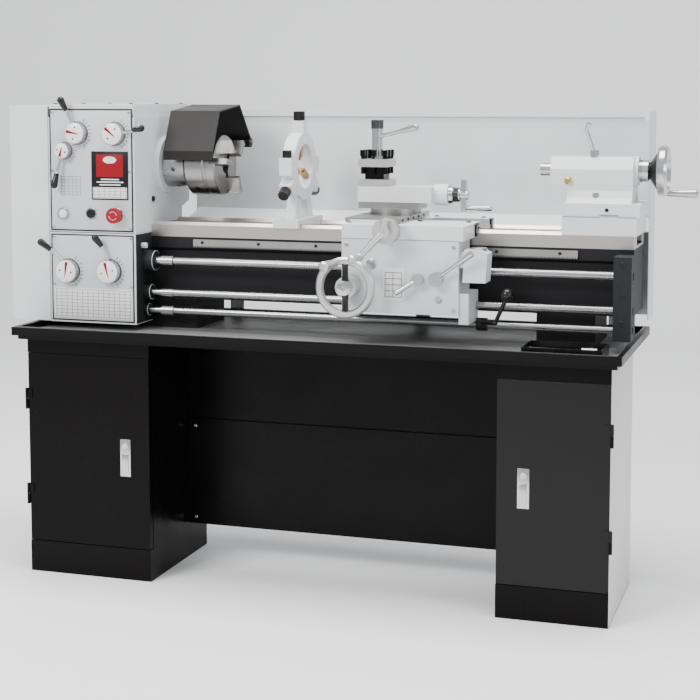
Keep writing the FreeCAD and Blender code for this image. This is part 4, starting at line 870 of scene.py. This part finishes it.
def feed_plate(mesh):
    add_block(mesh, (150, APRON_Y - 1.4, 746), (203, APRON_Y, 826), 0.4)


def feed_plate_marks(mesh):
    """A ruled diagram with no lettering."""
    for row in range(5):
        z = 754 + row * 15
        add_block(mesh, (155, APRON_Y - 1.9, z), (198, APRON_Y - 1.2, z + 1.3), 0.2)
    for x in (155, 175, 197):
        add_block(mesh, (x, APRON_Y - 1.9, 754), (x + 1.2, APRON_Y - 1.2, 815), 0.2)


def apron_plugs(mesh):
    """Two bright round plugs on the apron's face."""
    add_turned(mesh, (120, APRON_Y, 834), FRONT, disc_profile(13, 3.5, 1.2), 36)
    add_turned(mesh, (290, APRON_Y, 752), FRONT, disc_profile(8, 5, 1.5), 28)


make_piece("feed_plate", "carriage", "plate_white", feed_plate)
make_piece("feed_plate_marks", "carriage", "ink_black", feed_plate_marks)
make_piece("apron_plugs", "carriage", "bright_steel", apron_plugs)
screws("apron_screws", "carriage", [(x, APRON_Y, z) for x in (56, 327) for z in (727, 880)], FRONT, 5.0)


def way_wipers(mesh):
    """Rubber wipers at the ends of the saddle, over the ways and the front edge."""
    for x in (38.5, 350):
        for y in (-34, 122):
            add_block(mesh, (x, y, 914), (x + 5.5, y + 30, 929), 0.8)
        add_block(mesh, (x, -46, 897), (x + 5.5, -37, 927), 0.8)


make_piece("way_wipers", "carriage", "black_plastic", way_wipers)
SADDLE_BOLTS = [(x, y, 930) for x in (205, 330) for y in (-24, 144)]
screws("saddle_bolts", "carriage", SADDLE_BOLTS, UP, 6.5, "black_steel")


def thread_dial(mesh):
    """The disc on top of the thread dial's housing, at the carriage's right."""
    add_turned(mesh, (381, -130, 875), UP, [(0, 0), (21, 0), (21, 2), (19, 3.4), (0, 3.4)], 40)


make_piece("thread_dial", "carriage", "steel", thread_dial)


def dial_ticks(name, body, centre, axis, radius, width, count):
    """Graduations round a dial: every tenth line is long."""
    def build(mesh):
        turn = basis(axis)
        half = 0.35
        for index in range(count):
            angle = 2 * math.pi * index / count
            length = width if index % 10 == 0 else width * 0.55
            radial = (turn @ Vector((math.cos(angle), math.sin(angle), 0))).normalized()
            along = Vector(axis).normalized()
            across = along.cross(radial)
            base = Vector(centre) + radial * (radius - 0.3)
            outline = ((-half, 0), (half, 0), (half, length), (-half, length))
            corners = [base + across * s + along * t for s, t in outline]
            low = [mesh.verts.new(corner) for corner in corners]
            high = [mesh.verts.new(corner + radial * 0.45) for corner in corners]
            mesh.faces.new(low[::-1])
            mesh.faces.new(high)
            for side in range(4):
                after = (side + 1) % 4
                mesh.faces.new((low[side], low[after], high[after], high[side]))
    make_piece(name, body, "ink_black", build)


dial_ticks("cross_dial_ticks", "cross_crank", (170, -191, 919), FRONT, 31, 12, 80)
dial_ticks("compound_ticks", "compound_crank", (275, COMPOUND_Y, COMPOUND_SCREW_Z), RIGHT, 17, 8, 40)
dial_ticks("tail_dial_ticks", "tailstock_handwheel", (741, SPINDLE_Y, SPINDLE_Z), RIGHT, 27, 10, 60)
dial_ticks("swivel_ticks", "compound_base", (123, COMPOUND_Y, 944.5), UP, 65, 10, 120)


def cross_slide_details(mesh):
    """Gib screws along the right edge of the cross slide."""
    for y in range(-100, 150, 50):
        screw_head(mesh, (181, y, 937), RIGHT, 3.2, 2.0)


make_piece("gib_screws", "cross_slide", "black_steel", cross_slide_details)

# ---------------------------------------------------------------- tailstock details


def tail_plunger(mesh):
    """The brass oiler on the tailstock's front."""
    profile = [(0, 0), (10, 0), (10, 3), (7, 5), (7, 9), (5.5, 11), (0, 11)]
    add_turned(mesh, (572, 10, 1036), FRONT, profile, 32)


def tail_plug(mesh):
    add_turned(mesh, (640, 9, 1002), FRONT, disc_profile(8, 8, 0.8), 28)


def tail_seams(mesh):
    """The stepped dark joint between the tailstock's base and its foot."""
    for left, right, z in ((565, 655, 949.6), (655, 700, 955), (700, 744, 949.6)):
        add_block(mesh, (left, -31.3, z), (right, -26.6, z + 1.1), 0.2)


TAIL_WHEEL = (738.5, SPINDLE_Y, SPINDLE_Z)


def wheel_cone(mesh):
    """Black enamel on the dished handwheel's cone, at the back and in front."""
    profile = [(20.8, 25.2), (46.8, 43.2), (46.2, 43.8), (20.2, 25.8), (20.8, 25.2)]
    add_turned(mesh, TAIL_WHEEL, RIGHT, profile, 56)
    dish = [(24, 44.2), (43.6, 56.6), (43.2, 57.4), (23.6, 45.0), (24, 44.2)]
    add_turned(mesh, TAIL_WHEEL, RIGHT, dish, 56)


make_piece("tail_seams", "tailstock", "ink_grey", tail_seams)
make_piece("tail_wheel_cone", "tailstock_handwheel", "black_plastic", wheel_cone)
make_piece("tail_plunger", "tailstock", "brass", tail_plunger)
make_piece("tail_plug", "tailstock", "bright_steel", tail_plug)
screws("tail_screws", "tailstock", [(672, -27, 968)], FRONT, 4.5, "black_steel")

# ---------------------------------------------------------------- back and left side

GUARD_BACK_Y = 270
COVER_LEFT = -888


def back_ribs(mesh):
    """Pressed stiffeners down the back of the splash guard."""
    for x in (-300, 110, 520):
        add_block(mesh, (x, GUARD_BACK_Y, 700), (x + 26, GUARD_BACK_Y + 3, 1185), 1.2)


def cover_louvres(mesh):
    """Rows of pressed louvres on the left face of the gear cover."""
    louvre = [(-40, 0), (40, 0), (40, 2), (-40, 7)]
    for row in range(7):
        z = 760 + row * 16
        for y in (0, 110):
            add_prism(mesh, louvre, (COVER_LEFT, y, z), LEFT, UP, 2.2)


make_piece("back_ribs", "frame", "paint_white", back_ribs)
make_piece("cover_louvres", "gear_cover", "paint_white", cover_louvres)
BACK_SCREWS = [(x, GUARD_BACK_Y, z) for x in range(-500, 740, 200) for z in (690, 1195)]
screws("back_screws", "frame", BACK_SCREWS, BACK, 4.0)
COVER_SCREWS = [(COVER_LEFT, y, z) for y in (-110, 240) for z in (675, 1195)]
screws("cover_screws", "gear_cover", COVER_SCREWS, LEFT, 5.0)

# ---------------------------------------------------------------- loose accessories


def tray_items(mesh):
    """A dead centre, a chuck key and two spanner-like bars in the loose tray."""
    add_turned(mesh, (520, -200, 645), RIGHT, [(0, 0), (9, 0), (8, 70), (8, 74), (0, 96)], 24)
    add_turned(mesh, (640, -170, 645), RIGHT, [(0, 0), (8, 0), (8, 36), (0, 36)], 20)
    add_turned(mesh, (658, -205, 645), BACK, [(0, 0), (5, 2), (5, 68), (0, 70)], 20)
    add_block(mesh, (525, -175, 637), (610, -160, 643), 1.5)
    add_block(mesh, (520, -150, 637), (628, -138, 643), 1.5)


make_piece("tray_items", "frame", "steel", tray_items)

# ---------------------------------------------------------------- stage, lights and camera


def floor():
    """A pale floor that curves up into a backdrop, in metres."""
    mesh = bmesh.new()
    reach, curve_start, curve, top, sink, steps = 9.0, 4.0, 1.5, 7.0, 0.0005, 12
    line = [(-reach, -sink), (curve_start, -sink)]
    for step in range(1, steps + 1):
        angle = math.pi / 2 * step / steps
        line.append((curve_start + curve * math.sin(angle), curve - curve * math.cos(angle) - sink))
    line.append((curve_start + curve, top))
    rows = [[mesh.verts.new((side * reach, y, z)) for side in (-1, 1)] for y, z in line]
    for near, far in zip(rows, rows[1:]):
        mesh.faces.new((near[0], near[1], far[1], far[0]))
    data = bpy.data.meshes.new("floor")
    mesh.to_mesh(data)
    mesh.free()
    data.shade_smooth()
    obj = bpy.data.objects.new("floor", data)
    bpy.context.scene.collection.objects.link(obj)
    data.materials.append(new_material("floor_paint", (0.97, 0.97, 0.97), 0.7, 0.0)[0])


floor()


def area_light(name, place, target, size, watts):
    data = bpy.data.lights.new(name, "AREA")
    data.shape = "RECTANGLE"
    data.size, data.size_y = size
    data.energy = watts
    obj = bpy.data.objects.new(name, data)
    obj.location = place
    obj.rotation_euler = (Vector(target) - Vector(place)).to_track_quat("-Z", "Y").to_euler()
    bpy.context.scene.collection.objects.link(obj)


AIM = (0, 0, 0.8)
area_light("key", (-2.2, -3.8, 3.6), AIM, (2.0, 1.4), 225)
area_light("fill", (3.8, -2.2, 2.0), AIM, (1.6, 1.6), 44)
area_light("top", (0, -0.2, 3.6), AIM, (3.0, 1.6), 175)

world = bpy.data.worlds.new("studio")
world.use_nodes = True
background = world.node_tree.nodes["Background"]
background.inputs["Color"].default_value = (0.94, 0.96, 1.0, 1)
background.inputs["Strength"].default_value = 0.85
bpy.context.scene.world = world

CAMERA_DOWN, CAMERA_TURN = math.radians(5.39), math.radians(17.75)
camera_data = bpy.data.cameras.new("camera")
camera_data.lens = 80.24
camera_data.sensor_width = 36
camera_data.shift_y = -0.15
camera = bpy.data.objects.new("camera", camera_data)
camera.location = (1.22718, -3.79434, 1.23825)
camera.rotation_euler = (math.pi / 2 - CAMERA_DOWN, 0, CAMERA_TURN)
bpy.context.scene.collection.objects.link(camera)
bpy.context.scene.camera = camera
